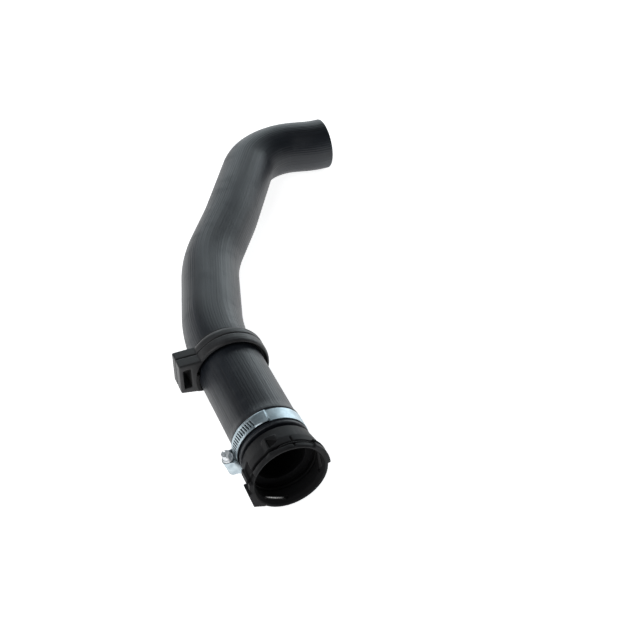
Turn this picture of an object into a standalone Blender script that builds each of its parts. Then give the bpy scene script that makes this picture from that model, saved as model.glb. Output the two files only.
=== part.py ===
# Charge air hose with a quick coupling, a worm drive clamp and a moulded mount ring.
#
# The hose lies as it comes to rest. The coupling's socket opens along -Y, the hose runs
# from it along +Y, bends to the right, and its plain cuff ends along +X. While it is
# built, the hose's clamped end is at x = 0, y = 0, and the whole is centred at the end.
# An angle round the hose is 0 at the right, 90 at the top and 180 at the left, seen from
# the coupling's open end. A place along the coupling is a distance along +Y.

import math

import bmesh
import bpy
from mathutils import Vector

MM = 0.001

# Clearance between two pieces that touch on the real hose.
FIT_GAP = 0.3 * MM

# Rubber hose.
LOWER_DIAMETER = 57.2 * MM
UPPER_DIAMETER = 54.4 * MM
HOSE_WALL = 4.2 * MM
STEP_DOWN_LENGTH = 7.0 * MM
HOSE_EDGE_ROUND = 0.7 * MM
HOSE_SIDES = 32

# The moulded end of the hose, with the seat that the clamp lies in.
BEAD_RISE = 1.1 * MM
SEAT_DEPTH = 0.6 * MM
SEAT_START = 2.9 * MM
SEAT_LENGTH = 15.8 * MM
BEAD_LENGTH = 1.5 * MM
BEAD_TAPER = 7.0 * MM

# Route of the hose's centre line: straight run before each bend, bend radius and turn. The
# middle of the cuff's end is set from the clamped end, along the coupling's axis and across
# it, and the runs before the elbow and before the cuff's end take up what that leaves.
CUFF_ALONG = 420.3 * MM
CUFF_ACROSS = 224.1 * MM
END_STRAIGHT = 118.4 * MM
FIRST_BEND_RADIUS = 200.0 * MM
FIRST_BEND_ANGLE = 17.4
SECOND_STRAIGHT = 58.4 * MM
SECOND_BEND_RADIUS = 170.0 * MM
SECOND_BEND_ANGLE = 17.4
THIRD_STRAIGHT = 42.2 * MM
THIRD_BEND_RADIUS = 300.0 * MM
THIRD_BEND_ANGLE = -3.4
ELBOW_RADIUS = 59.0 * MM
ELBOW_ANGLE = 73.5
FIFTH_STRAIGHT = 12.0 * MM
CUFF_BEND_RADIUS = 60.0 * MM
CUFF_ANGLE = 90.0
SETTLE_LENGTH = 160.0 * MM
BEND_STEP_ANGLE = 8.0

# Moulded mount ring, with the block that a bracket's tongue passes through. It opens beside
# the block, so that it can be sprung over the hose, and its front stands off as a lip.
RING_START = 99.0 * MM
RING_LENGTH = 19.0 * MM
RING_DIAMETER = 68.8 * MM
RING_FRONT_DROP = 2.2 * MM
RING_SHOULDER = 5.0 * MM
RING_EDGE = 2.0 * MM
RING_SPLIT_ANGLES = (194.0, 240.0)
MOUTH_GAP = 2.6 * MM
MOUTH_DEPTH = 6.0 * MM
GROOVE_PLACE = 10.5 * MM
GROOVE_WIDTH = 0.8 * MM
GROOVE_DEPTH = 0.7 * MM
BLOCK_REACH = 45.7 * MM
BLOCK_ROOT = 24.0 * MM
BLOCK_BELOW = 6.3 * MM
BLOCK_ABOVE = 21.5 * MM
BLOCK_CORNER = 2.2 * MM
BLOCK_EDGE = 1.2 * MM
SLOT_WIDTH = 7.0 * MM
SLOT_HEIGHT = 19.5 * MM
SLOT_FROM_SIDE = 3.1 * MM
SLOT_FROM_TOP = 5.0 * MM
SLOT_CORNER = 1.0 * MM

# Moulded plastic coupling.
SPIGOT_WALL = 3.0 * MM
SPIGOT_DEPTH = 32.0 * MM
SPIGOT_LEAD = 1.5 * MM
NECK_GAP = 5.5 * MM
SOCKET_LENGTH = 24.5 * MM
SHOULDER_DIAMETER = 59.6 * MM
SHOULDER_ROUND = 1.6 * MM
BODY_DIAMETER = 63.8 * MM
FLARE_LENGTH = 11.0 * MM
RIM_DIAMETER = 61.8 * MM
RIM_ROUND = 2.4 * MM
BORE_DIAMETER = 55.0 * MM
BORE_LEAD = 1.3 * MM
BORE_LEAD_LENGTH = 2.5 * MM
FLOOR_THICKNESS = 3.2 * MM
COUPLING_SIDES = 48

# Seal in the socket.
SEAL_FROM_RIM = 14.5 * MM
SEAL_GROOVE_WIDTH = 4.6 * MM
SEAL_GROOVE_DEPTH = 1.8 * MM
SEAL_PROUD = 1.1 * MM

# Retaining clip of spring wire: round in the groove, with three straight stretches that
# pass through the wall into the bore.
WIRE_DIAMETER = 2.0 * MM
WIRE_FROM_RIM = 5.7 * MM
WIRE_INSET = 0.1 * MM
WIRE_REACH = 1.1 * MM
WIRE_PLAY = 0.7 * MM
FLAT_ANGLES = (6.5, 130.0, -117.0)
WIRE_START_ANGLE = -149.0
WIRE_END_ANGLE = 163.0
WIRE_SIDES = 8

# Lugs, pocket and tick outside the coupling.
RIGHT_LUG_ANGLES = (4.0, 50.0)
RIGHT_LUG_LENGTH = 8.0 * MM
RIGHT_LUG_RISE = 1.9 * MM
CORNER_LUG_LENGTH = 12.0 * MM
CORNER_LUG_OUTLINE = ((-34.5 * MM, -5.0 * MM), (-30.5 * MM, -20.5 * MM), (-21.5 * MM, -23.8 * MM))
PAD_ANGLES = (100.0, 118.0, 127.0)
PAD_LENGTH = 18.2 * MM
PAD_FROM_RIM = 1.0 * MM
PAD_FLUSH = 0.2 * MM
PAD_POCKET_ANGLES = (104.0, 116.0)
PAD_POCKET_LENGTH = 11.0 * MM
PAD_POCKET_DEPTH = 1.9 * MM
SIDE_POCKET_ANGLES = (155.0, 171.0)
SIDE_POCKET_LENGTH = 17.5 * MM
SIDE_POCKET_DEPTH = 1.7 * MM
SIDE_RIB_ANGLES = (172.5, 183.0)
SIDE_RIB_RISE = 1.2 * MM
TICK_ANGLE = 81.0
TICK_LENGTH = 11.0 * MM
TICK_WIDTH = 0.9 * MM
TICK_DEPTH = 0.8 * MM

# Worm drive clamp. Its band runs once round and then over itself, through the housing.
BAND_WIDTH = 12.0 * MM
BAND_THICKNESS = 0.7 * MM
BAND_START_ANGLE = 225.0
BAND_TAIL_ANGLE = 94.0
JOGGLE_ANGLE = 20.0
BAND_STEP_ANGLE = 6.0
THREAD_SLOTS = 23
THREAD_PITCH = 2.4 * MM
THREAD_SLOT_LENGTH = 7.6 * MM
THREAD_SLOT_WIDTH = 1.1 * MM
THREAD_SLANT_ANGLE = 12.0
THREAD_SLOT_ANGLE = 119.5
HOUSING_ANGLE = 198.0
HOUSING_LENGTH = 15.0 * MM
HOUSING_WALL = 1.0 * MM
HOUSING_SHOULDER = 2.4 * MM
WORM_DIAMETER = 8.2 * MM
WORM_PITCH = 2.4 * MM
WORM_GROOVE = 0.7 * MM
FLANGE_DIAMETER = 9.6 * MM
FLANGE_THICKNESS = 1.2 * MM
HEAD_ACROSS_FLATS = 7.0 * MM
HEAD_LENGTH = 5.4 * MM
DRIVER_SLOT_WIDTH = 1.2 * MM
DRIVER_SLOT_DEPTH = 2.0 * MM

# Sizes that follow from the driving dimensions.
LOWER_RADIUS = LOWER_DIAMETER / 2
UPPER_RADIUS = UPPER_DIAMETER / 2
LOWER_BORE = LOWER_RADIUS - HOSE_WALL
UPPER_BORE = UPPER_RADIUS - HOSE_WALL
RING_RADIUS = RING_DIAMETER / 2
RING_END = RING_START + RING_LENGTH
BEAD_RADIUS = LOWER_RADIUS + BEAD_RISE
SEAT_RADIUS = BEAD_RADIUS - SEAT_DEPTH
SPIGOT_RADIUS = LOWER_BORE - FIT_GAP
SPIGOT_BORE = SPIGOT_RADIUS - SPIGOT_WALL
BODY_RADIUS = BODY_DIAMETER / 2
BORE_RADIUS = BORE_DIAMETER / 2
RIM_PLACE = -(NECK_GAP + SOCKET_LENGTH)
WIRE_RADIUS = WIRE_DIAMETER / 2
WIRE_PLACE = RIM_PLACE + WIRE_FROM_RIM
WIRE_RING_RADIUS = BODY_RADIUS - WIRE_INSET - WIRE_RADIUS
WIRE_FLAT_DISTANCE = BORE_RADIUS - WIRE_REACH
CLAMP_PLACE = SEAT_START + SEAT_LENGTH / 2
BAND_INNER = SEAT_RADIUS + FIT_GAP
TAIL_INNER = BAND_INNER + BAND_THICKNESS + FIT_GAP
BAND_OUTER = TAIL_INNER + BAND_THICKNESS
WORM_RADIUS = WORM_DIAMETER / 2
WORM_AXIS = BAND_OUTER + FIT_GAP + WORM_RADIUS
COUPLING_HEIGHT = RING_RADIUS

BENDS = (
    (FIRST_BEND_RADIUS, FIRST_BEND_ANGLE),
    (SECOND_BEND_RADIUS, SECOND_BEND_ANGLE),
    (THIRD_BEND_RADIUS, THIRD_BEND_ANGLE),
    (ELBOW_RADIUS, ELBOW_ANGLE),
)
BEFORE_ELBOW_ANGLE = FIRST_BEND_ANGLE + SECOND_BEND_ANGLE + THIRD_BEND_ANGLE


def clear_scene():
    for thing in list(bpy.data.objects):
        bpy.data.objects.remove(thing, do_unlink=True)


def make_material(name, colour, roughness, metallic=0.0):
    material = bpy.data.materials.new(name)
    material.use_nodes = True
    shader = material.node_tree.nodes["Principled BSDF"]
    shader.inputs["Base Color"].default_value = (*colour, 1.0)
    shader.inputs["Roughness"].default_value = roughness
    shader.inputs["Metallic"].default_value = metallic
    material.diffuse_color = (*colour, 1.0)
    return material


def add_object(name, mesh_data, material=None):
    """Turn a bmesh into a named object with its faces pointing out."""
    bmesh.ops.recalc_face_normals(mesh_data, faces=mesh_data.faces)
    mesh = bpy.data.meshes.new(name)
    mesh_data.to_mesh(mesh)
    mesh_data.free()
    mesh.shade_smooth()
    mesh.set_sharp_from_angle(angle=math.radians(30))
    thing = bpy.data.objects.new(name, mesh)
    bpy.context.collection.objects.link(thing)
    if material:
        mesh.materials.append(material)
    else:
        thing.hide_render = True
        thing.display_type = "WIRE"
    return thing


def loft(rings, closed=False):
    """Join rings of points in order, with flat ends or, when closed, last ring to first."""
    work = bmesh.new()
    loops = [[work.verts.new(point) for point in ring] for ring in rings]
    count = len(loops[0])
    pairs = list(zip(loops, loops[1:]))
    if closed:
        pairs.append((loops[-1], loops[0]))
    for first, second in pairs:
        for i in range(count):
            j = (i + 1) % count
            work.faces.new((first[i], first[j], second[j], second[i]))
    if not closed:
        work.faces.new(loops[0])
        work.faces.new(list(reversed(loops[-1])))
    return work


def combine(target, other, operation):
    modifier = target.modifiers.new(other.name, "BOOLEAN")
    modifier.operation = operation
    modifier.solver = "EXACT"
    modifier.object = other


def bend_pieces(fourth_straight, cuff_straight):
    """The route as straight runs and bends: length, bend radius and turn of each."""
    straights = (END_STRAIGHT, SECOND_STRAIGHT, THIRD_STRAIGHT, fourth_straight)
    pieces = []
    for straight, (radius, turn) in zip(straights, BENDS):
        pieces.append((straight, 0.0, 0.0))
        pieces.append((radius * math.radians(abs(turn)), radius, turn))
    pieces.append((FIFTH_STRAIGHT, 0.0, 0.0))
    last_turn = CUFF_ANGLE - BEFORE_ELBOW_ANGLE - ELBOW_ANGLE
    pieces.append((CUFF_BEND_RADIUS * math.radians(abs(last_turn)), CUFF_BEND_RADIUS, last_turn))
    pieces.append((cuff_straight, 0.0, 0.0))
    return pieces


def route_length(route):
    return sum(length for length, radius, turn in route)


def plan_place(route, distance):
    """Where the centre line is in plan, and its heading, at a distance from the clamped end."""
    x, y, heading = 0.0, 0.0, 0.0
    left = distance
    for number, (length, radius, turn) in enumerate(route):
        last = number == len(route) - 1
        run = left if last else min(left, length)
        if turn:
            side = math.copysign(1.0, turn)
            end = heading + side * run / radius
            x += side * radius * (math.cos(heading) - math.cos(end))
            y += side * radius * (math.sin(end) - math.sin(heading))
            heading = end
        else:
            x += run * math.sin(heading)
            y += run * math.cos(heading)
        left -= run
        if left <= 0 and not last:
            break
    return x, y, heading


def fit_route():
    """The route with the two free runs as long as they must be for the cuff's set place."""
    fixed = bend_pieces(0.0, 0.0)
    x, y, _ = plan_place(fixed, route_length(fixed))
    missing_x, missing_y = CUFF_ACROSS - x, CUFF_ALONG - y
    before, after = math.radians(BEFORE_ELBOW_ANGLE), math.radians(CUFF_ANGLE)
    spread = math.sin(after - before)
    fourth_straight = (missing_y * math.sin(after) - missing_x * math.cos(after)) / spread
    cuff_straight = (missing_x * math.cos(before) - missing_y * math.sin(before)) / spread
    return bend_pieces(fourth_straight, cuff_straight)


ROUTE = fit_route()
ROUTE_LENGTH = route_length(ROUTE)


def centre(distance):
    """The centre line in space. The hose settles from the ring's height to its own radius."""
    x, y, heading = plan_place(ROUTE, distance)
    t = min(max((distance - RING_END) / SETTLE_LENGTH, 0.0), 1.0)
    ease = t * t * (3.0 - 2.0 * t)
    height = COUPLING_HEIGHT + (UPPER_RADIUS - COUPLING_HEIGHT) * ease
    return Vector((x, y, height)), heading


def ring_points(distance, radius, sides):
    """A ring of points round the centre line, with one point at the very bottom."""
    middle, heading = centre(distance)
    step = 0.5 * MM
    climb = centre(distance + step)[0] - centre(distance - step)[0]
    across = Vector((math.cos(heading), -math.sin(heading), 0.0))
    up = across.cross(climb).normalized()
    points = []
    for i in range(sides):
        angle = math.tau * i / sides - math.pi / 2
        points.append(middle + radius * (math.cos(angle) * across + math.sin(angle) * up))
    return points


def polar(place, angle, radius):
    """A point at an angle and radius round the coupling's axis, angle in degrees."""
    turn = math.radians(angle)
    return Vector((radius * math.cos(turn), place, COUPLING_HEIGHT + radius * math.sin(turn)))


def circle(place, radius, sides):
    return [polar(place, 360.0 * i / sides - 90.0, radius) for i in range(sides)]


def turned(name, profile, sides, material=None, closed=True):
    """A body turned round the coupling's axis, from (place, radius) pairs."""
    return add_object(name, loft([circle(*pair, sides) for pair in profile], closed), material)


def read_profile(profile, distance):
    """Radius at a distance, read from straight stretches between (distance, radius) pairs."""
    for (start, first), (end, second) in zip(profile, profile[1:]):
        if distance <= end:
            return first + (second - first) * (distance - start) / (end - start)
    return profile[-1][1]


def bend_stations():
    """Distances where the hose needs a ring to follow its bends and its slope."""
    stations = []
    done = 0.0
    for length, radius, turn in ROUTE:
        if turn:
            count = max(2, math.ceil(abs(turn) / BEND_STEP_ANGLE))
            stations += [done + length * i / count for i in range(count + 1)]
        done += length
    return stations


def step_down(low, high):
    """Where the hose narrows under the mount ring, as (distance, radius) pairs."""
    middle = RING_START + RING_LENGTH / 2
    return [(middle - STEP_DOWN_LENGTH / 2, low), (middle + STEP_DOWN_LENGTH / 2, high)]


def hose_outside():
    seat_end = SEAT_START + SEAT_LENGTH
    bead_end = seat_end + SEAT_DEPTH + BEAD_LENGTH
    return [
        (0.0, BEAD_RADIUS - HOSE_EDGE_ROUND),
        (HOSE_EDGE_ROUND, BEAD_RADIUS),
        (SEAT_START - SEAT_DEPTH, BEAD_RADIUS),
        (SEAT_START, SEAT_RADIUS),
        (seat_end, SEAT_RADIUS),
        (seat_end + SEAT_DEPTH, BEAD_RADIUS),
        (bead_end, BEAD_RADIUS),
        (bead_end + BEAD_TAPER, LOWER_RADIUS),
        *step_down(LOWER_RADIUS, UPPER_RADIUS),
        (ROUTE_LENGTH - HOSE_EDGE_ROUND, UPPER_RADIUS),
        (ROUTE_LENGTH, UPPER_RADIUS - HOSE_EDGE_ROUND),
    ]


def hose_inside():
    return [(0.0, LOWER_BORE), *step_down(LOWER_BORE, UPPER_BORE), (ROUTE_LENGTH, UPPER_BORE)]


def stations_for(profile):
    """The profile's own distances and those of the bends, without near doubles."""
    kept = []
    own = [distance for distance, radius in profile]
    for distance in sorted(own + bend_stations()):
        if distance > ROUTE_LENGTH + FIT_GAP:
            continue
        if kept and distance - kept[-1] < FIT_GAP:
            continue
        kept.append(distance)
    return kept


def make_hose(material):
    outside, inside = hose_outside(), hose_inside()
    rings = [ring_points(d, read_profile(outside, d), HOSE_SIDES) for d in stations_for(outside)]
    inner = [ring_points(d, read_profile(inside, d), HOSE_SIDES) for d in stations_for(inside)]
    return add_object("hose", loft(rings + inner[::-1], closed=True), material)


def rounded_rectangle(place, left, right, low, high, corner, inset):
    """A rectangle across the coupling's axis with round corners, drawn in by an inset."""
    left, right, low, high = left + inset, right - inset, low + inset, high - inset
    points = []
    corners = ((right, high, 0), (left, high, 90), (left, low, 180), (right, low, 270))
    for x, z, start in corners:
        middle_x = x - math.copysign(corner, x - (left + right) / 2)
        middle_z = z - math.copysign(corner, z - (low + high) / 2)
        for part in range(4):
            angle = math.radians(start + 30 * part)
            z_place = COUPLING_HEIGHT + middle_z + corner * math.sin(angle)
            points.append(Vector((middle_x + corner * math.cos(angle), place, z_place)))
    return points


def groove_steps(start, end, edge):
    """Places along a moulding and how far its skin is drawn in there, with the parting groove."""
    groove = RING_START + GROOVE_PLACE
    half = GROOVE_WIDTH / 2
    return [
        (start, edge),
        (start + edge, 0.0),
        (groove - half, 0.0),
        (groove - half / 2, GROOVE_DEPTH),
        (groove + half / 2, GROOVE_DEPTH),
        (groove + half, 0.0),
        (end - edge, 0.0),
        (end, edge),
    ]


def make_mount_ring(material):
    profile = [
        (RING_START, RING_RADIUS - RING_FRONT_DROP),
        (RING_START + RING_SHOULDER * 0.3, RING_RADIUS - RING_FRONT_DROP * 0.4),
        (RING_START + RING_SHOULDER, RING_RADIUS),
    ]
    for place, inset in groove_steps(RING_START, RING_END, RING_EDGE)[2:]:
        profile.append((place, RING_RADIUS - inset))
    ring = turned("mount_ring", profile, HOSE_SIDES, material, closed=False)
    sections = []
    for place, inset in groove_steps(RING_START, RING_END, BLOCK_EDGE):
        sections.append(rounded_rectangle(
            place, -BLOCK_REACH, -BLOCK_ROOT, -BLOCK_BELOW, BLOCK_ABOVE, BLOCK_CORNER, inset))
    combine(ring, add_object("block_solid", loft(sections)), "UNION")
    mouth = LOWER_RADIUS + MOUTH_GAP
    bore = [
        (RING_START - RING_EDGE, mouth),
        (RING_START, mouth),
        (RING_START + MOUTH_DEPTH, LOWER_RADIUS + FIT_GAP),
        *step_down(LOWER_RADIUS + FIT_GAP, UPPER_RADIUS + FIT_GAP),
        (RING_END + RING_EDGE, UPPER_RADIUS + FIT_GAP),
    ]
    combine(ring, turned("ring_bore", bore, HOSE_SIDES, closed=False), "DIFFERENCE")
    split = arc_block("ring_split", RING_START - RING_EDGE, RING_END + RING_EDGE, RING_SPLIT_ANGLES,
                      UPPER_RADIUS - FIT_GAP, RING_RADIUS + RING_EDGE)
    combine(ring, split, "DIFFERENCE")
    left = -BLOCK_REACH + SLOT_FROM_SIDE
    high = BLOCK_ABOVE - SLOT_FROM_TOP
    slot = []
    for place in (RING_START - BLOCK_CORNER, RING_END + BLOCK_CORNER):
        slot.append(rounded_rectangle(
            place, left, left + SLOT_WIDTH, high - SLOT_HEIGHT, high, SLOT_CORNER, 0.0))
    combine(ring, add_object("block_slot", loft(slot)), "DIFFERENCE")
    return ring


def wire_radius_at(angle):
    """Distance of the wire's centre from the axis: the groove's ring or a straight stretch."""
    reach = WIRE_RING_RADIUS
    for flat in FLAT_ANGLES:
        turn = math.radians(angle - flat)
        if math.cos(turn) > 0:
            reach = min(reach, WIRE_FLAT_DISTANCE / math.cos(turn))
    return reach


def wire_groove_cutter():
    """The groove, which goes through the wall where the wire dips into the bore."""
    half = WIRE_RADIUS + FIT_GAP
    outer = BODY_RADIUS + FIT_GAP
    sides = 2 * COUPLING_SIDES
    rings = []
    for place, outside in ((-half, True), (half, True), (half, False), (-half, False)):
        ring = []
        for i in range(sides):
            angle = 360.0 * (i + 0.5) / sides - 90.0
            floor = wire_radius_at(angle) - WIRE_RADIUS - WIRE_PLAY
            radius = outer if outside else floor
            ring.append(polar(WIRE_PLACE + place, angle, radius))
        rings.append(ring)
    return add_object("wire_groove", loft(rings, closed=True))


def arc_block(name, start, end, angles, low, high, steps=6):
    """A block that follows the coupling's round wall between two angles and two radii."""
    first, last = angles
    spread = [first + (last - first) * i / steps for i in range(steps + 1)]
    rings = []
    for place in (start, end):
        ring = [polar(place, angle, high) for angle in spread]
        ring += [polar(place, angle, low) for angle in reversed(spread)]
        rings.append(ring)
    return add_object(name, loft(rings))


def corner_lug():
    inside = (BORE_RADIUS + BODY_RADIUS) / 2
    rings = []
    for place in (RIM_PLACE, RIM_PLACE + CORNER_LUG_LENGTH):
        ring = [Vector((x, place, COUPLING_HEIGHT + z)) for x, z in CORNER_LUG_OUTLINE]
        last = math.degrees(math.atan2(CORNER_LUG_OUTLINE[-1][1], CORNER_LUG_OUTLINE[-1][0]))
        first = math.degrees(math.atan2(CORNER_LUG_OUTLINE[0][1], CORNER_LUG_OUTLINE[0][0]))
        ring += [polar(place, last + (first - last) * i / 4, inside) for i in range(5)]
        rings.append(ring)
    return add_object("corner_lug", loft(rings))


def flat_pad():
    """A flat pad that grows out of the round wall to a ridge, with a sloping left side."""
    flush, ridge, foot = PAD_ANGLES
    surface = BODY_RADIUS - PAD_FLUSH
    inside = (BORE_RADIUS + BODY_RADIUS) / 2
    peak = surface / math.cos(math.radians(ridge - flush))
    start = RIM_PLACE + PAD_FROM_RIM
    rings = []
    for place in (start, start + PAD_LENGTH):
        ring = [polar(place, flush, surface), polar(place, ridge, peak), polar(place, foot, surface)]
        ring += [polar(place, foot + (flush - foot) * i / 4, inside) for i in range(5)]
        rings.append(ring)
    return add_object("flat_pad", loft(rings))


def pad_pocket():
    """A three-cornered pocket beside the pad's ridge, deepest along the ridge."""
    right, left = PAD_POCKET_ANGLES
    end = RIM_PLACE + PAD_FROM_RIM + PAD_LENGTH - PAD_POCKET_DEPTH
    start = end - PAD_POCKET_LENGTH
    outer = BODY_RADIUS + 2 * PAD_POCKET_DEPTH
    floor = BODY_RADIUS - PAD_POCKET_DEPTH / 2
    corners = ((start, left), (end, left), (end, right))
    rings = [[polar(place, angle, radius) for place, angle in corners] for radius in (floor, outer)]
    return add_object("pad_pocket", loft(rings))


def tick_cutter():
    start = RIM_PLACE + PAD_FROM_RIM
    half = math.degrees(TICK_WIDTH / 2 / BODY_RADIUS)
    angles = (TICK_ANGLE - half, TICK_ANGLE + half)
    low = BODY_RADIUS - TICK_DEPTH
    high = BODY_RADIUS + TICK_DEPTH
    return arc_block("tick", start, start + TICK_LENGTH, angles, low, high, steps=1)


def make_coupling(material):
    rim = RIM_DIAMETER / 2
    shoulder = SHOULDER_DIAMETER / 2
    neck = -NECK_GAP
    floor = neck - FLOOR_THICKNESS
    seal_start = RIM_PLACE + SEAL_FROM_RIM
    seal_end = seal_start + SEAL_GROOVE_WIDTH
    seal_depth = BORE_RADIUS + SEAL_GROOVE_DEPTH
    body = turned("coupling_body", [
        (SPIGOT_DEPTH, SPIGOT_RADIUS - SPIGOT_LEAD),
        (SPIGOT_DEPTH - SPIGOT_LEAD, SPIGOT_RADIUS),
        (neck, SPIGOT_RADIUS),
        (neck, shoulder - SHOULDER_ROUND),
        (neck - SHOULDER_ROUND * 0.3, shoulder - SHOULDER_ROUND * 0.3),
        (neck - SHOULDER_ROUND, shoulder),
        (neck - FLARE_LENGTH, BODY_RADIUS),
        (RIM_PLACE + RIM_ROUND, BODY_RADIUS),
        (RIM_PLACE + RIM_ROUND * 0.3, rim + (BODY_RADIUS - rim) * 0.6),
        (RIM_PLACE, rim),
        (RIM_PLACE, BORE_RADIUS + BORE_LEAD),
        (RIM_PLACE + BORE_LEAD_LENGTH, BORE_RADIUS),
        (seal_start, BORE_RADIUS),
        (seal_start, seal_depth),
        (seal_end, seal_depth),
        (seal_end, BORE_RADIUS),
        (floor, BORE_RADIUS),
        (floor, SPIGOT_BORE),
        (SPIGOT_DEPTH, SPIGOT_BORE),
    ], COUPLING_SIDES, material)
    sunk = (BORE_RADIUS + BODY_RADIUS) / 2
    side_start = RIM_PLACE + PAD_FROM_RIM
    additions = [
        arc_block("right_lug", RIM_PLACE, RIM_PLACE + RIGHT_LUG_LENGTH, RIGHT_LUG_ANGLES,
                  sunk, BODY_RADIUS + RIGHT_LUG_RISE),
        arc_block("side_rib", side_start, side_start + PAD_LENGTH, SIDE_RIB_ANGLES,
                  sunk, BODY_RADIUS + SIDE_RIB_RISE, steps=2),
        corner_lug(),
        flat_pad(),
    ]
    pocket_start = RIM_PLACE - PAD_FROM_RIM
    cuts = [
        pad_pocket(),
        arc_block("side_pocket", pocket_start, RIM_PLACE + SIDE_POCKET_LENGTH, SIDE_POCKET_ANGLES,
                  BODY_RADIUS - SIDE_POCKET_DEPTH, BODY_RADIUS + SIDE_POCKET_DEPTH),
        tick_cutter(),
        wire_groove_cutter(),
    ]
    for extra in additions:
        combine(body, extra, "UNION")
    for cut in cuts:
        combine(body, cut, "DIFFERENCE")
    return body


def make_wire_clip(material):
    whole = WIRE_END_ANGLE - WIRE_START_ANGLE
    count = math.ceil(whole / BAND_STEP_ANGLE)
    path = []
    for i in range(count + 1):
        angle = WIRE_START_ANGLE + whole * i / count
        path.append(polar(WIRE_PLACE, angle, wire_radius_at(angle)))
    along_y = Vector((0.0, 1.0, 0.0))
    rings = []
    for i, point in enumerate(path):
        ahead = path[min(i + 1, count)] - path[max(i - 1, 0)]
        side = ahead.cross(along_y).normalized()
        ring = []
        for k in range(WIRE_SIDES):
            turn = math.tau * k / WIRE_SIDES
            ring.append(point + WIRE_RADIUS * (math.cos(turn) * side + math.sin(turn) * along_y))
        rings.append(ring)
    return add_object("wire_clip", loft(rings), material)


def make_seal_ring(material):
    start = RIM_PLACE + SEAL_FROM_RIM + FIT_GAP
    end = RIM_PLACE + SEAL_FROM_RIM + SEAL_GROOVE_WIDTH - FIT_GAP
    outer = BORE_RADIUS + SEAL_GROOVE_DEPTH - FIT_GAP
    inner = BORE_RADIUS - SEAL_PROUD
    middle = (start + end) / 2
    lip = (end - start) / 4
    return turned("seal_ring", [
        (start, outer),
        (start, BORE_RADIUS),
        (middle - lip, inner),
        (middle + lip, inner),
        (end, BORE_RADIUS),
        (end, outer),
    ], COUPLING_SIDES, material)


def make_clamp_band(material):
    """One strip: it starts under the housing, runs once round, steps up and overlaps itself."""
    step_end = 360.0
    step_start = step_end - JOGGLE_ANGLE
    whole = step_end + BAND_START_ANGLE - BAND_TAIL_ANGLE
    count = math.ceil(whole / BAND_STEP_ANGLE)
    half = BAND_WIDTH / 2
    rings = []
    for i in range(count + 1):
        run = whole * i / count
        t = min(max((run - step_start) / (step_end - step_start), 0.0), 1.0)
        low = BAND_INNER + (TAIL_INNER - BAND_INNER) * t
        high = low + BAND_THICKNESS
        angle = BAND_START_ANGLE - run
        rings.append([
            polar(CLAMP_PLACE - half, angle, low),
            polar(CLAMP_PLACE - half, angle, high),
            polar(CLAMP_PLACE + half, angle, high),
            polar(CLAMP_PLACE + half, angle, low),
        ])
    band = add_object("clamp_band", loft(rings), material)
    combine(band, thread_slots(), "DIFFERENCE")
    return band


def thread_slots():
    """All the slanted slots of the tail, as one cutter made of separate bars."""
    work = bmesh.new()
    low = TAIL_INNER - FIT_GAP / 2
    high = BAND_OUTER + FIT_GAP
    slant = math.radians(THREAD_SLANT_ANGLE)
    for i in range(THREAD_SLOTS):
        angle = THREAD_SLOT_ANGLE + math.degrees(THREAD_PITCH / BAND_OUTER) * i
        corners = []
        for side, end in ((-1, -1), (1, -1), (1, 1), (-1, 1)):
            along = side * THREAD_SLOT_WIDTH / 2
            across = end * THREAD_SLOT_LENGTH / 2
            turned_along = along * math.cos(slant) - across * math.sin(slant)
            turned_across = along * math.sin(slant) + across * math.cos(slant)
            corners.append((CLAMP_PLACE + turned_across, angle + math.degrees(turned_along / BAND_OUTER)))
        bottom = [work.verts.new(polar(place, turn, low)) for place, turn in corners]
        top = [work.verts.new(polar(place, turn, high)) for place, turn in corners]
        work.faces.new(bottom)
        work.faces.new(list(reversed(top)))
        for k in range(4):
            work.faces.new((bottom[k], top[k], top[(k + 1) % 4], bottom[(k + 1) % 4]))
    return add_object("thread_slots", work)


def at_screw(along, across, height):
    """A point in the housing's own directions: along the screw, across the band, and out."""
    turn = math.radians(HOUSING_ANGLE)
    out = Vector((math.cos(turn), 0.0, math.sin(turn)))
    down = Vector((-math.sin(turn), 0.0, math.cos(turn)))
    middle = Vector((0.0, CLAMP_PLACE + across, COUPLING_HEIGHT))
    return middle + out * height + down * along


def make_clamp_housing(material):
    inner = BAND_WIDTH / 2 + FIT_GAP
    outer = inner + HOUSING_WALL
    bore = WORM_RADIUS + FIT_GAP
    arch = bore + HOUSING_WALL
    foot = BAND_INNER + BAND_THICKNESS / 2
    ledge = BAND_OUTER + FIT_GAP
    shoulder = ledge + HOUSING_SHOULDER
    outline = [(outer, foot), (outer, shoulder)]
    for i in range(9):
        turn = math.pi * i / 8
        outline.append((arch * math.cos(turn), WORM_AXIS + arch * math.sin(turn)))
    outline += [(-outer, shoulder), (-outer, foot), (-inner, foot), (-inner, ledge)]
    outline += [(inner, ledge), (inner, foot)]
    half = HOUSING_LENGTH / 2
    rings = [[at_screw(end, across, height) for across, height in outline] for end in (-half, half)]
    housing = add_object("clamp_housing", loft(rings), material)
    sides = 24
    ends = (-HOUSING_LENGTH, HOUSING_LENGTH)
    combine(housing, screw_turned("worm_bore", [(end, bore) for end in ends], sides), "DIFFERENCE")
    return housing


def screw_turned(name, profile, sides, material=None):
    """A solid turned round the screw's axis, from (along, radius) pairs."""
    rings = []
    for along, radius in profile:
        ring = []
        for i in range(sides):
            turn = math.tau * i / sides
            ring.append(at_screw(along, radius * math.cos(turn), WORM_AXIS + radius * math.sin(turn)))
        rings.append(ring)
    return add_object(name, loft(rings), material)


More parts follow.
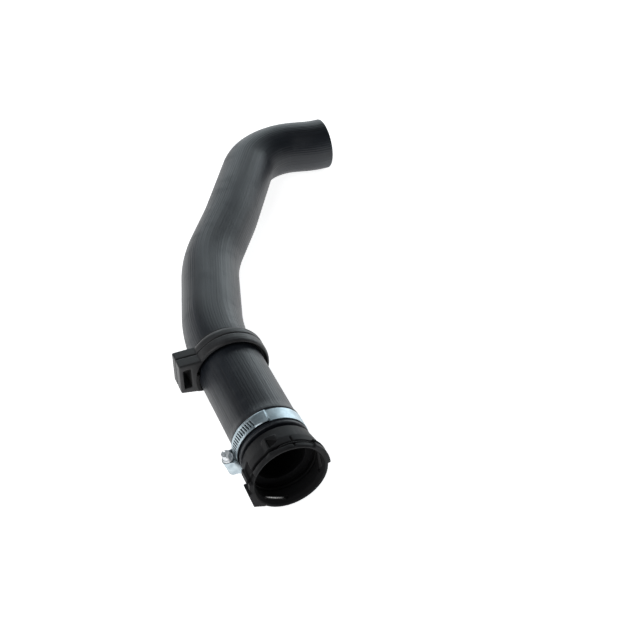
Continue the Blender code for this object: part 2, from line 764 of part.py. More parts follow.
def make_clamp_screw(material):
    half = HOUSING_LENGTH / 2
    head_end = -half - FIT_GAP - FLANGE_THICKNESS
    profile = [(-half - FIT_GAP - FLANGE_THICKNESS / 2, WORM_RADIUS - WORM_GROOVE)]
    threads = int((HOUSING_LENGTH - WORM_PITCH) / WORM_PITCH)
    for i in range(threads):
        start = -half + WORM_PITCH * (i + 0.5)
        profile.append((start, WORM_RADIUS - WORM_GROOVE))
        profile.append((start + WORM_PITCH * 0.35, WORM_RADIUS))
        profile.append((start + WORM_PITCH * 0.65, WORM_RADIUS))
    profile.append((half - WORM_PITCH / 2, WORM_RADIUS - WORM_GROOVE))
    profile.append((half, WORM_RADIUS - WORM_GROOVE))
    screw = screw_turned("clamp_screw", profile, 16, material)
    flange_radius = FLANGE_DIAMETER / 2
    flange_places = (head_end, head_end + FLANGE_THICKNESS)
    flange = screw_turned("screw_flange", [(place, flange_radius) for place in flange_places], 20)
    combine(screw, flange, "UNION")
    corner = HEAD_ACROSS_FLATS / 2 / math.cos(math.pi / 6)
    top = head_end - HEAD_LENGTH
    chamfer = corner - HEAD_ACROSS_FLATS / 2
    head = screw_turned("screw_head", [
        (top, corner - chamfer * 1.5),
        (top + chamfer, corner),
        (head_end + FLANGE_THICKNESS / 2, corner),
    ], 6)
    combine(screw, head, "UNION")
    slot = []
    for along in (top - DRIVER_SLOT_DEPTH, top + DRIVER_SLOT_DEPTH):
        half_width = DRIVER_SLOT_WIDTH / 2
        corners = ((-1, -1), (1, -1), (1, 1), (-1, 1))
        slot.append([at_screw(along, a * 2 * corner, WORM_AXIS + b * half_width) for a, b in corners])
    combine(screw, add_object("driver_slot", loft(slot)), "DIFFERENCE")
    return screw


def centre_on_floor(things):
    """Put the middle of the whole hose's floor outline at the origin."""
    graph = bpy.context.evaluated_depsgraph_get()
    corners = []
    for thing in things:
        shape = thing.evaluated_get(graph)
        corners += [Vector(vertex.co) for vertex in shape.data.vertices]
    low = Vector([min(corner[axis] for corner in corners) for axis in range(3)])
    high = Vector([max(corner[axis] for corner in corners) for axis in range(3)])
    base = bpy.data.objects.new("resting_place", None)
    bpy.context.collection.objects.link(base)
    for thing in list(bpy.data.objects):
        if thing is not base:
            thing.parent = base
    base.location = (-(low.x + high.x) / 2, -(low.y + high.y) / 2, -low.z)
    print("moved by", [round(value / MM, 4) for value in base.location])
    print("size", [round(value / MM, 3) for value in high - low])


def main():
    clear_scene()
    rubber = make_material("hose_rubber", (0.045, 0.050, 0.058), 0.5)
    mount_rubber = make_material("mount_rubber", (0.040, 0.042, 0.046), 0.55)
    plastic = make_material("coupling_plastic", (0.030, 0.031, 0.034), 0.4)
    seal_rubber = make_material("seal_rubber", (0.020, 0.020, 0.021), 0.6)
    spring_steel = make_material("spring_steel", (0.60, 0.60, 0.58), 0.3, 1.0)
    band_zinc = make_material("band_zinc", (0.72, 0.77, 0.80), 0.32, 1.0)
    housing_zinc = make_material("housing_zinc", (0.66, 0.72, 0.75), 0.35, 1.0)
    screw_zinc = make_material("screw_zinc", (0.45, 0.47, 0.48), 0.4, 1.0)
    things = [
        make_hose(rubber),
        make_mount_ring(mount_rubber),
        make_coupling(plastic),
        make_seal_ring(seal_rubber),
        make_wire_clip(spring_steel),
        make_clamp_band(band_zinc),
        make_clamp_housing(housing_zinc),
        make_clamp_screw(screw_zinc),
    ]
    centre_on_floor(things)


main()
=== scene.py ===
# %% [markdown]
# # A charge air hose, dressed for its picture
#
# The hose carries compressed air in an engine bay. It is one moulding of reinforced rubber with
# a plain cuff at one end. A plastic quick coupling is clamped in the other end, and a rubber
# ring with a slotted block holds the hose to a bracket. The solid model already has every piece
# at its size and place. This notebook gives each one a fine surface and a finish.

# %% The frame and the sizes read from it
import math

import bpy
from mathutils import Matrix, Vector


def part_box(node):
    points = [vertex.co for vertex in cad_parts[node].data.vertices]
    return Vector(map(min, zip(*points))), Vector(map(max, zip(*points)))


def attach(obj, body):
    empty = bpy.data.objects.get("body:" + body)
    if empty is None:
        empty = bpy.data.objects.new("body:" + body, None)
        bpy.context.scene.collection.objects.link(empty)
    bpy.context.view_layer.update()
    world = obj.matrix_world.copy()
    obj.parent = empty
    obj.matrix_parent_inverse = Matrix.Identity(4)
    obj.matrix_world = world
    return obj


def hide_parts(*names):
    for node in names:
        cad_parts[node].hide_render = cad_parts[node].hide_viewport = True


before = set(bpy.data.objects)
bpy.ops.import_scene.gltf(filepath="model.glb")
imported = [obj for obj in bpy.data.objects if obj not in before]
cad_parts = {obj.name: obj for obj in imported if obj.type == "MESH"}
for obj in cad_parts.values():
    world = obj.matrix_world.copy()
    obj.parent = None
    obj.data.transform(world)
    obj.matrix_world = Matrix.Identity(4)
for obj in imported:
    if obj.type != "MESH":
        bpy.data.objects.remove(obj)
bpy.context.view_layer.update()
MM = 0.001

seal_low, seal_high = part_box("seal_ring")
AXIS_X = (seal_low[0] + seal_high[0]) / 2
AXIS_Z = (seal_low[2] + seal_high[2]) / 2
RIM_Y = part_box("coupling_body")[0][1]
BAND_Y = (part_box("clamp_band")[0][1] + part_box("clamp_band")[1][1]) / 2
RING_Y, RING_BACK_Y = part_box("mount_ring")[0][1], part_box("mount_ring")[1][1]
BLOCK_LEFT_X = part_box("mount_ring")[0][0]
HOSE_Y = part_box("hose")[0][1]
print("coupling axis", AXIS_X, AXIS_Z, "rim", RIM_Y, "hose starts", HOSE_Y)

# %% [markdown]
# ## Tools of the trade
#
# Most pieces here are turned or extruded. A lathe shape is a line of points spun round an axis,
# so one helper draws such a line by extruding a single vertex from point to point, and the next
# ones spin it, fill it or push it along. An operator acts on all that is selected, so everything
# is deselected before a primitive is added.

# %% Drawing a line of points
WELD = MM / 1000


def pick(thing):
    """Select this object alone and make it the active one."""
    bpy.ops.object.select_all(action="DESELECT")
    bpy.context.view_layer.objects.active = thing
    thing.select_set(True)


def add_vertex(name, place):
    """A mesh object with a single vertex, left in edit mode."""
    bpy.ops.object.select_all(action="DESELECT")
    bpy.ops.mesh.primitive_plane_add(size=MM)
    thing = bpy.context.object
    thing.name = name
    bpy.ops.object.mode_set(mode="EDIT")
    bpy.ops.mesh.select_mode(type="VERT")
    bpy.ops.mesh.select_all(action="SELECT")
    bpy.ops.mesh.merge(type="CENTER")
    bpy.ops.transform.translate(value=place)
    return thing


def draw_line(name, points, closed=False):
    """A line of edges through the points, left in edit mode and all selected."""
    thing = add_vertex(name, points[0])
    stops = list(points) + ([points[0]] if closed else [])
    for here, there in zip(stops, stops[1:]):
        step = Vector(there) - Vector(here)
        bpy.ops.mesh.extrude_region_move(TRANSFORM_OT_translate={"value": step})
    bpy.ops.mesh.select_all(action="SELECT")
    if closed:
        bpy.ops.mesh.remove_doubles(threshold=WELD)
    return thing


def close_up():
    """Merge the seam, turn the faces outwards and leave edit mode."""
    bpy.ops.mesh.select_all(action="SELECT")
    bpy.ops.mesh.remove_doubles(threshold=WELD)
    bpy.ops.mesh.normals_make_consistent(inside=False)
    bpy.ops.object.mode_set(mode="OBJECT")


# %% Turning on the lathe and pushing an outline
def polar(place, angle, radius):
    """A point round the coupling's axis. The angle is 0 at the right and 90 at the top."""
    turn = math.radians(angle)
    return Vector((AXIS_X + radius * math.cos(turn), place, AXIS_Z + radius * math.sin(turn)))


def turned(name, profile, steps=128, closed=True):
    """A body turned round the coupling's axis from (place, radius) pairs."""
    thing = draw_line(name, [polar(place, 0, radius) for place, radius in profile], closed)
    bpy.ops.mesh.spin(steps=steps, angle=math.tau, center=(AXIS_X, 0, AXIS_Z), axis=(0, 1, 0))
    close_up()
    return thing


def pushed(name, outline, length):
    """A flat outline filled and pushed along +Y."""
    thing = draw_line(name, outline, closed=True)
    bpy.ops.mesh.edge_face_add()
    bpy.ops.mesh.extrude_region_move(TRANSFORM_OT_translate={"value": (0, length, 0)})
    close_up()
    return thing


def arc_outline(place, angles, low, high, steps=12):
    """A stretch of the round wall between two angles and two radii, as an outline."""
    first, last = angles
    spread = [first + (last - first) * i / steps for i in range(steps + 1)]
    outer = [polar(place, angle, high) for angle in spread]
    return outer + [polar(place, angle, low) for angle in reversed(spread)]


# %% Joining, cutting and softening
def use_modifier(thing, kind, **settings):
    """Add a modifier, set it and apply it."""
    pick(thing)
    modifier = thing.modifiers.new(kind.lower(), kind)
    for key, value in settings.items():
        setattr(modifier, key, value)
    bpy.ops.object.modifier_apply(modifier=modifier.name)
    return thing


def combine(thing, other, operation):
    """Add the other piece to this one or cut it away, and remove it."""
    use_modifier(thing, "BOOLEAN", object=other, operation=operation, solver="EXACT")
    bpy.data.objects.remove(other)
    return thing


def bevel(thing, width, segments, corner=50):
    """Round the edges that turn by more than the corner, in degrees."""
    return use_modifier(thing, "BEVEL", width=width, segments=segments, limit_method="ANGLE",
                        angle_limit=math.radians(corner))


def soften(thing, grain, rounds):
    """Rebuild the skin on an even grain and relax it, which rounds every edge like a moulding."""
    use_modifier(thing, "REMESH", mode="VOXEL", voxel_size=grain)
    use_modifier(thing, "SMOOTH", factor=0.5, iterations=rounds)
    return shade(thing, 180)


def shade(thing, angle=35):
    """Smooth shading, apart from edges sharper than the angle."""
    pick(thing)
    bpy.ops.object.shade_smooth_by_angle(angle=math.radians(angle))
    return thing


def triangles(thing):
    return sum(len(face.vertices) - 2 for face in thing.data.polygons)


# %% [markdown]
# ## Camera
#
# The camera stands where the photograph was taken from: to the left of the coupling, 40 degrees
# above the floor, just over a metre away.

# %% The camera
AIM = Vector((0.0222, -0.0423, 0.0))
CAMERA_AZIMUTH = -23.5
CAMERA_HEIGHT_ANGLE = 40.0
CAMERA_DISTANCE = 1.0363
CAMERA_LENS = 61.9

turn_down = math.radians(90 - CAMERA_HEIGHT_ANGLE)
turn_round = math.radians(CAMERA_AZIMUTH)
camera_turn = Matrix.Rotation(turn_round, 3, "Z") @ Matrix.Rotation(turn_down, 3, "X")
camera_place = AIM + camera_turn @ Vector((0, 0, CAMERA_DISTANCE))
bpy.ops.object.camera_add(location=camera_place, rotation=camera_turn.to_euler())
camera = bpy.context.object
camera.data.lens = CAMERA_LENS
bpy.context.scene.camera = camera
print("camera at", [round(value, 4) for value in camera.location])

# %% [markdown]
# ## Shader sums
#
# A finish is easier to read as a sum than as a web of nodes. The class below wraps a socket, so
# that `1 - mask * 0.4` adds the Math nodes for it. Any other node comes from its `node` method.

# %% A socket that takes part in sums
class Flow:
    def __init__(self, tree, socket=None):
        self.tree = tree
        self.socket = socket

    def node(self, kind, sockets=None, output=0, **settings):
        """Add a node: first its settings, then the values or links of its sockets."""
        made = self.tree.nodes.new(kind)
        for key, value in settings.items():
            setattr(made, key, value)
        for key, value in (sockets or {}).items():
            if isinstance(value, Flow):
                self.tree.links.new(value.socket, made.inputs[key])
            else:
                made.inputs[key].default_value = value
        return Flow(self.tree, made.outputs[output] if made.outputs else None)

    def sum(self, operation, first, second):
        return self.node("ShaderNodeMath", {0: first, 1: second}, operation=operation)

    def __add__(self, other):
        return self.sum("ADD", self, other)

    def __radd__(self, other):
        return self.sum("ADD", other, self)

    def __sub__(self, other):
        return self.sum("SUBTRACT", self, other)

    def __rsub__(self, other):
        return self.sum("SUBTRACT", other, self)

    def __mul__(self, other):
        return self.sum("MULTIPLY", self, other)

    def part(self, axis):
        """One coordinate of a vector: X, Y or Z."""
        return self.node("ShaderNodeSeparateXYZ", {"Vector": self}, output=axis)

    def clear_step(self, low, high):
        """0 below low, 1 above high and smooth between."""
        ends = {"Value": self, "From Min": low, "From Max": high}
        return self.node("ShaderNodeMapRange", ends, interpolation_type="SMOOTHSTEP")

    def blend(self, first, second):
        """A colour between two colours, by this value."""
        made = self.tree.nodes.new("ShaderNodeMix")
        made.data_type = "RGBA"
        self.tree.links.new(self.socket, made.inputs[0])
        for place, colour in ((6, first), (7, second)):
            if isinstance(colour, Flow):
                self.tree.links.new(colour.socket, made.inputs[place])
            else:
                made.inputs[place].default_value = (*colour, 1)
        return Flow(self.tree, made.outputs[2])

    def noise(self, vector, scale, detail=2.0):
        """Soft noise about 0.5. The scale is how many clouds there are to a metre."""
        sockets = {"Vector": vector, "Scale": scale, "Detail": detail}
        return self.node("ShaderNodeTexNoise", sockets, output="Fac")

    def stretched(self, vector, scale):
        """A vector scaled by axis. A small scale draws a pattern out along that axis."""
        return self.node("ShaderNodeMapping", {"Vector": vector, "Scale": scale})


def new_finish(name):
    """An empty material, and the flow that its sums start from."""
    material = bpy.data.materials.new(name)
    material.use_nodes = True
    material.node_tree.nodes.clear()
    return material, Flow(material.node_tree)


def set_finish(material, flow, links, fixed):
    """The Principled shader of a finish: links for what varies, fixed for what doesn't."""
    shader = flow.node("ShaderNodeBsdfPrincipled", {**fixed, **links})
    flow.node("ShaderNodeOutputMaterial", {"Surface": shader})
    return material


def bumps(flow, height, strength, depth):
    """A surface normal that follows the height."""
    return flow.node("ShaderNodeBump", {"Height": height, "Strength": strength, "Distance": depth})


# %% [markdown]
# ## The hose
#
# The real hose is built straight and cured on a bent mandrel, so its fine ridges run along it
# through every bend. This way copies that. The tube is turned straight on the lathe, its straight
# place is kept as an attribute, and then every point moves to its place on the bent route. The
# rubber's grain reads the attribute, so it follows the hose as the ridges do, and has no seam.
# This hose keeps its moulded form when nothing holds it, so it is a rigid piece and no cord.

# %% Sizes of the hose
LOWER_RADIUS = 28.6 * MM
UPPER_RADIUS = 27.2 * MM
HOSE_WALL = 4.2 * MM
BEAD_RADIUS = 29.7 * MM
SEAT_RADIUS = 29.1 * MM
SEAT_START = 2.9 * MM
SEAT_END = 18.7 * MM
BEAD_END = 20.8 * MM
BEAD_TAPER = 7.0 * MM
TAPER_SAG = 0.15 * MM
SEAT_SLOPE = 0.8 * MM
STEP_START = 105.0 * MM
STEP_LENGTH = 7.0 * MM
EDGE_ROUND = 0.9 * MM
RIDGES = 72
RIDGE_HEIGHT = 0.07 * MM
RIDGE_WANDER = 31.0 * MM
RIDGE_FADE = 47.0 * MM
RIDGE_RUN_IN = 4.0 * MM
HOSE_STEPS = 4 * RIDGES
STATION = 3.2 * MM
INNER_STATION = 9.0 * MM

# Straight runs have a length and no turn. Bends have a radius and a turn in degrees.
ROUTE = (
    (118.4 * MM, 0.0),
    (200.0 * MM, 17.4),
    (58.4 * MM, 0.0),
    (170.0 * MM, 17.4),
    (42.2 * MM, 0.0),
    (300.0 * MM, -3.4),
    (81.36 * MM, 0.0),
    (59.0 * MM, 73.5),
    (12.0 * MM, 0.0),
    (60.0 * MM, -14.9),
    (6.11 * MM, 0.0),
)
SETTLE_START = 118.0 * MM
SETTLE_LENGTH = 160.0 * MM


# %% The route of the hose's centre line
def run_length(size, turn):
    return size * math.radians(abs(turn)) if turn else size


ROUTE_LENGTH = sum(run_length(size, turn) for size, turn in ROUTE)


def plan_place(distance):
    """Where the centre line is in plan, and its heading, at a distance from the clamped end."""
    x, y, heading, left = AXIS_X, HOSE_Y, 0.0, distance
    for size, turn in ROUTE:
        run = min(left, run_length(size, turn))
        if turn:
            side = math.copysign(1.0, turn)
            end = heading + side * run / size
            x += side * size * (math.cos(heading) - math.cos(end))
            y += side * size * (math.sin(end) - math.sin(heading))
            heading = end
        else:
            x += run * math.sin(heading)
            y += run * math.cos(heading)
        left -= run
        if left <= 0:
            break
    return x, y, heading


def centre(distance):
    """The centre line in space. It settles from the ring's height to the hose's own radius."""
    x, y, heading = plan_place(distance)
    t = min(max((distance - SETTLE_START) / SETTLE_LENGTH, 0.0), 1.0)
    return Vector((x, y, AXIS_Z + (UPPER_RADIUS - AXIS_Z) * t * t * (3 - 2 * t))), heading


print("hose length along its middle", round(ROUTE_LENGTH / MM, 1), "mm")


# %% The straight tube's profile
def fine_points(profile, spacing):
    """The profile's points with more between them, so that the tube can bend."""
    points = []
    for (start, first), (end, second) in zip(profile, profile[1:]):
        count = max(1, math.ceil(abs(end - start) / spacing))
        for i in range(count):
            points.append((start + (end - start) * i / count, first + (second - first) * i / count))
    return points + [profile[-1]]


def rounded_edge(end, radius, side):
    """A quarter round at a hose end. The side is 1 where the hose goes on towards +Y."""
    return [
        (end + side * EDGE_ROUND * (1 - math.cos(math.radians(angle))),
         radius - EDGE_ROUND * (1 - math.sin(math.radians(angle))))
        for angle in (0, 22.5, 45, 67.5, 90)
    ]


outside = fine_points([
    *rounded_edge(0.0, BEAD_RADIUS, 1),
    (SEAT_START - SEAT_SLOPE, BEAD_RADIUS),
    (SEAT_START, SEAT_RADIUS),
    (SEAT_END, SEAT_RADIUS),
    (SEAT_END + SEAT_SLOPE, BEAD_RADIUS),
    (BEAD_END, BEAD_RADIUS),
    (BEAD_END + BEAD_TAPER * 0.5, (BEAD_RADIUS + LOWER_RADIUS) / 2 - TAPER_SAG),
    (BEAD_END + BEAD_TAPER, LOWER_RADIUS),
    (STEP_START, LOWER_RADIUS),
    (STEP_START + STEP_LENGTH, UPPER_RADIUS),
    *reversed(rounded_edge(ROUTE_LENGTH, UPPER_RADIUS, -1)),
], STATION)
inside = fine_points([
    (ROUTE_LENGTH, UPPER_RADIUS - HOSE_WALL + EDGE_ROUND / 2),
    (ROUTE_LENGTH - EDGE_ROUND / 2, UPPER_RADIUS - HOSE_WALL),
    (STEP_START + STEP_LENGTH, UPPER_RADIUS - HOSE_WALL),
    (STEP_START, LOWER_RADIUS - HOSE_WALL),
    (0.0, LOWER_RADIUS - HOSE_WALL),
], INNER_STATION)


def ridge_rise(turn, distance):
    """How far the fine ridges lift the outer face. They wander a little, fade in and out, and
    stand prouder towards the cuff, as in the photograph.
    """
    wander = 0.7 * math.sin(distance / RIDGE_WANDER) + 0.5 * math.sin(3 * turn)
    strength = 0.65 + 0.35 * math.sin(7 * turn + distance / RIDGE_FADE)
    strength *= 0.8 + distance / ROUTE_LENGTH
    ends = min(distance - BEAD_END, ROUTE_LENGTH - distance) / RIDGE_RUN_IN
    return RIDGE_HEIGHT * strength * math.sin(RIDGES * turn + wander) * min(max(ends, 0.0), 1.0)


# %% Turn the tube, keep its straight place, and bend it
hose = turned("hose_tube", outside + inside, HOSE_STEPS)
straight = hose.data.attributes.new("straight_place", "FLOAT_VECTOR", "POINT")
for vertex in hose.data.vertices:
    across_part, distance, up_part = vertex.co.x - AXIS_X, vertex.co.y, vertex.co.z - AXIS_Z
    radius = math.hypot(across_part, up_part)
    if radius > UPPER_RADIUS - EDGE_ROUND:
        grown = 1 + ridge_rise(math.atan2(up_part, across_part), distance) / radius
        across_part, up_part = across_part * grown, up_part * grown
    straight.data[vertex.index].vector = (across_part, distance, up_part)
    middle, heading = centre(distance)
    climb = centre(distance + MM / 2)[0] - centre(distance - MM / 2)[0]
    across = Vector((math.cos(heading), -math.sin(heading), 0))
    up = across.cross(climb).normalized() if climb.length else Vector((0, 0, 1))
    vertex.co = middle + across * across_part + up * up_part
shade(hose)
print("hose", triangles(hose), "triangles")

# %% [markdown]
# ## The mount ring
#
# The ring and its block are one soft moulding, open beside the block so that it can be sprung
# over the hose. Its edges are all rounded, and a parting groove runs round it and over the
# block. The plain shapes are joined and cut, and then the whole skin is rebuilt on a fine even
# grain and relaxed. That rounds each corner where they meet, as in a moulding.

# %% Sizes of the ring and its block
RING_RADIUS = 34.4 * MM
RING_GROOVE_Y = RING_Y + 10.5 * MM
RING_GROOVE_WIDTH = 1.3 * MM
RING_GROOVE_DEPTH = 1.0 * MM
RING_TAIL_Y = RING_BACK_Y + 7.5 * MM
LIP_RADIUS = 32.6 * MM
MOUTH_RADIUS = 31.7 * MM
MOUTH_DEPTH = 5.0 * MM
MOUTH_ANGLES = (-118.0, 167.0)
BLOCK_LOW = -8.0 * MM
BLOCK_HIGH = 21.5 * MM
BLOCK_ROOT_X = AXIS_X - 24.0 * MM
SLOT_SIZE = (7.0 * MM, 20.5 * MM)
SLOT_FROM_SIDE = 3.1 * MM
SLOT_FROM_TOP = 5.0 * MM
SLOT_DRAFT = (0.55, 0.82)
FOOT_SLOPE = 0.2
SPLIT_ANGLES = (240.0, 230.0, 220.0, 210.0)
FIT = 0.3 * MM
SKIN_GRAIN = 0.45 * MM


# %% The ring's parts
def box_piece(name, low, high):
    """A box between two corners."""
    bpy.ops.object.select_all(action="DESELECT")
    middle = (Vector(low) + Vector(high)) / 2
    bpy.ops.mesh.primitive_cube_add(size=1, location=middle, scale=Vector(high) - Vector(low))
    thing = bpy.context.object
    thing.name = name
    bpy.ops.object.transform_apply(location=True, rotation=True, scale=True)
    return thing


def foot_fall(x):
    """How far the block's foot has fallen at this place, on its way to the hose."""
    return FOOT_SLOPE * (x - block_low.x)


def slope_foot(thing):
    """Let a box's underside fall towards the hose, as the block's foot does."""
    for vertex in thing.data.vertices:
        if vertex.co.z < (block_low.z + block_high.z) / 2:
            vertex.co.z -= foot_fall(vertex.co.x)
    return thing


def groove_line(radius):
    """The parting groove's corners, from front to back, in a ring of this radius."""
    half = RING_GROOVE_WIDTH / 2
    return [
        (RING_GROOVE_Y - half, radius),
        (RING_GROOVE_Y - half * 0.6, radius - RING_GROOVE_DEPTH),
        (RING_GROOVE_Y + half * 0.6, radius - RING_GROOVE_DEPTH),
        (RING_GROOVE_Y + half, radius),
    ]


mount = turned("mount_moulding", [
    (RING_Y, UPPER_RADIUS / 2),
    (RING_Y, LIP_RADIUS),
    (RING_Y + 0.8 * MM, RING_RADIUS - 0.9 * MM),
    (RING_Y + 2.2 * MM, RING_RADIUS - 0.35 * MM),
    (RING_Y + 5.0 * MM, RING_RADIUS),
    *groove_line(RING_RADIUS),
    (RING_BACK_Y - 3.0 * MM, RING_RADIUS),
    (RING_BACK_Y - 1.0 * MM, RING_RADIUS - 0.5 * MM),
    (RING_BACK_Y + 0.8 * MM, RING_RADIUS - 1.7 * MM),
    (RING_BACK_Y + 3.0 * MM, RING_RADIUS - 3.9 * MM),
    (RING_BACK_Y + 5.5 * MM, RING_RADIUS - 5.7 * MM),
    (RING_TAIL_Y, RING_RADIUS - 6.3 * MM),
    (RING_TAIL_Y, UPPER_RADIUS / 2),
])
block_low = Vector((BLOCK_LEFT_X, RING_Y, AXIS_Z + BLOCK_LOW))
block_high = Vector((BLOCK_ROOT_X, RING_BACK_Y + 1.2 * MM, AXIS_Z + BLOCK_HIGH))
block = slope_foot(box_piece("block", block_low, block_high))
use_modifier(block, "BEVEL", width=1.0 * MM, segments=3)

# %% The block's groove, and the ring's bore and mouth
grow = 2.0 * MM
groove_half = RING_GROOVE_WIDTH / 2
frame_cut = slope_foot(box_piece(
    "block_groove",
    (block_low.x - grow, RING_GROOVE_Y - groove_half, block_low.z - grow),
    (block_high.x + grow, RING_GROOVE_Y + groove_half, block_high.z + grow)))
core = slope_foot(box_piece(
    "block_core",
    block_low + Vector((1, 0, 1)) * RING_GROOVE_DEPTH,
    block_high + Vector((grow * 2, 0, -RING_GROOVE_DEPTH))))
combine(frame_cut, core, "DIFFERENCE")
combine(block, frame_cut, "DIFFERENCE")
combine(mount, block, "UNION")
bore = turned("ring_bore", [
    (RING_Y - grow, UPPER_RADIUS / 4),
    (RING_Y - grow, LOWER_RADIUS + FIT),
    (HOSE_Y + STEP_START, LOWER_RADIUS + FIT),
    (HOSE_Y + STEP_START + STEP_LENGTH, UPPER_RADIUS + FIT),
    (RING_TAIL_Y + grow, UPPER_RADIUS + FIT / 2),
    (RING_TAIL_Y + grow, UPPER_RADIUS / 4),
])
combine(mount, bore, "DIFFERENCE")
mouth_outline = arc_outline(RING_Y - grow, MOUTH_ANGLES, UPPER_RADIUS / 3, MOUTH_RADIUS, 64)
combine(mount, pushed("ring_mouth", mouth_outline, grow + MOUTH_DEPTH), "DIFFERENCE")

# %% The ring's opening and the block's slot
split_start = RING_Y - grow
split_size = RING_TAIL_Y + grow - split_start
split_outline = [
    Vector((x, split_start, block_low.z - foot_fall(x) - FIT / 3))
    for x in (AXIS_X - RING_RADIUS - grow, AXIS_X - UPPER_RADIUS / 3)
]
split_outline += [polar(split_start, angle, RING_RADIUS + grow) for angle in SPLIT_ANGLES]
combine(mount, pushed("ring_split", split_outline, split_size), "DIFFERENCE")
slot_left = block_low.x + SLOT_FROM_SIDE
slot_high = block_high.z - SLOT_FROM_TOP
slot = box_piece(
    "tongue_slot",
    (slot_left, RING_Y - grow, slot_high - SLOT_SIZE[1]),
    (slot_left + SLOT_SIZE[0], RING_BACK_Y + grow, slot_high))
# The slot narrows towards the back, so the far face of its box is drawn in.
bpy.ops.object.mode_set(mode="EDIT")
bpy.ops.mesh.select_all(action="DESELECT")
bpy.ops.object.mode_set(mode="OBJECT")
for face in slot.data.polygons:
    face.select = face.normal.y > 0.9
bpy.ops.object.mode_set(mode="EDIT")
bpy.ops.mesh.select_mode(type="FACE")
slot_middle = (slot_left + SLOT_SIZE[0] / 2, RING_BACK_Y + grow, slot_high - SLOT_SIZE[1] / 2)
bpy.ops.transform.resize(value=(SLOT_DRAFT[0], 1, SLOT_DRAFT[1]), center_override=slot_middle)
bpy.ops.object.mode_set(mode="OBJECT")
combine(mount, slot, "DIFFERENCE")
soften(mount, SKIN_GRAIN, 4)
print("mount", triangles(mount), "triangles")

# %% [markdown]
# ## The quick coupling
#
# The coupling is moulded in glass-filled plastic. Its socket is turned, and the lugs, the flat
# pad, the pockets and the wire's groove are added and cut as the solid model has them. It gets
# the same soft rebuilt skin as the ring, relaxed less, because plastic keeps crisper edges.

# %% Sizes of the coupling
SOCKET_LENGTH = 24.5 * MM
NECK_Y = RIM_Y + SOCKET_LENGTH
SPIGOT_END_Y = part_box("coupling_body")[1][1]
BODY_RADIUS = 31.9 * MM
RIM_RADIUS = 30.9 * MM
LEAD_RADIUS = 30.2 * MM
SHOULDER_RADIUS = 29.8 * MM
SHOULDER_Y = NECK_Y + 2.4 * MM
FLARE_Y = NECK_Y - 11.0 * MM
SOCKET_RADIUS = 27.5 * MM
FLOOR_THICKNESS = 3.2 * MM
SPIGOT_RADIUS = LOWER_RADIUS - HOSE_WALL - FIT
SPIGOT_BORE = SPIGOT_RADIUS - 3.0 * MM
SEAL_Y = RIM_Y + 14.5 * MM
SEAL_WIDTH = 4.6 * MM
SEAL_DEPTH = 1.8 * MM
WIRE_Y = RIM_Y + 5.7 * MM
WIRE_RADIUS = 1.0 * MM
WIRE_RING = BODY_RADIUS - 0.1 * MM - WIRE_RADIUS
WIRE_FLAT = SOCKET_RADIUS - 1.1 * MM
WIRE_PLAY = 0.7 * MM
GROOVE_ROOM = 0.45 * MM
FLAT_ANGLES = (6.5, 130.0, -117.0)


# %% Where the wire runs
def wire_reach(angle):
    """How far the wire's middle is from the axis: its round, or one of three straights."""
    reach = WIRE_RING
    for flat in FLAT_ANGLES:
        facing = math.cos(math.radians(angle - flat))
        if facing > 0:
            reach = min(reach, WIRE_FLAT / facing)
    return reach


# %% The socket and what stands on it
socket = turned("coupling_socket", [
    (NECK_Y + 3.0 * MM, SPIGOT_RADIUS),
    (SHOULDER_Y, SPIGOT_RADIUS),
    (SHOULDER_Y, SHOULDER_RADIUS - 1.0 * MM),
    (SHOULDER_Y - 0.3 * MM, SHOULDER_RADIUS - 0.3 * MM),
    (SHOULDER_Y - 1.0 * MM, SHOULDER_RADIUS),
    (FLARE_Y, BODY_RADIUS),
    (RIM_Y + 2.0 * MM, BODY_RADIUS),
    (RIM_Y + 1.0 * MM, BODY_RADIUS - 0.1 * MM),
    (RIM_Y + 0.3 * MM, BODY_RADIUS - 0.45 * MM),
    (RIM_Y, RIM_RADIUS),
    (RIM_Y, LEAD_RADIUS),
    (RIM_Y + 0.5 * MM, LEAD_RADIUS - 0.6 * MM),
    (RIM_Y + 4.2 * MM, SOCKET_RADIUS),
    (SEAL_Y, SOCKET_RADIUS),
    (SEAL_Y, SOCKET_RADIUS + SEAL_DEPTH),
    (SEAL_Y + SEAL_WIDTH, SOCKET_RADIUS + SEAL_DEPTH),
    (SEAL_Y + SEAL_WIDTH, SOCKET_RADIUS),
    (NECK_Y - FLOOR_THICKNESS, SOCKET_RADIUS),
    (NECK_Y - FLOOR_THICKNESS, SPIGOT_BORE),
    (NECK_Y + 3.0 * MM, SPIGOT_BORE),
])
sunk = (SOCKET_RADIUS + BODY_RADIUS) / 2
PAD_START = RIM_Y + 1.0 * MM
PAD_LENGTH = 18.2 * MM
lug_outline = arc_outline(RIM_Y, (4, 50), sunk, BODY_RADIUS + 1.9 * MM, 24)
combine(socket, pushed("right_lug", lug_outline, 8.0 * MM), "UNION")
rib_outline = arc_outline(PAD_START, (172.5, 183), sunk, BODY_RADIUS + 1.2 * MM, 4)
combine(socket, pushed("side_rib", rib_outline, PAD_LENGTH), "UNION")


def corner_point(x, z):
    return Vector((AXIS_X + x, RIM_Y, AXIS_Z + z))


corner_outline = [
    corner_point(-34.5 * MM, -5.0 * MM),
    corner_point(-30.5 * MM, -20.5 * MM),
    corner_point(-21.5 * MM, -23.8 * MM),
    *[polar(RIM_Y, angle, sunk) for angle in (228, 218, 208, 198, 188)],
]
combine(socket, pushed("corner_lug", corner_outline, 12.0 * MM), "UNION")

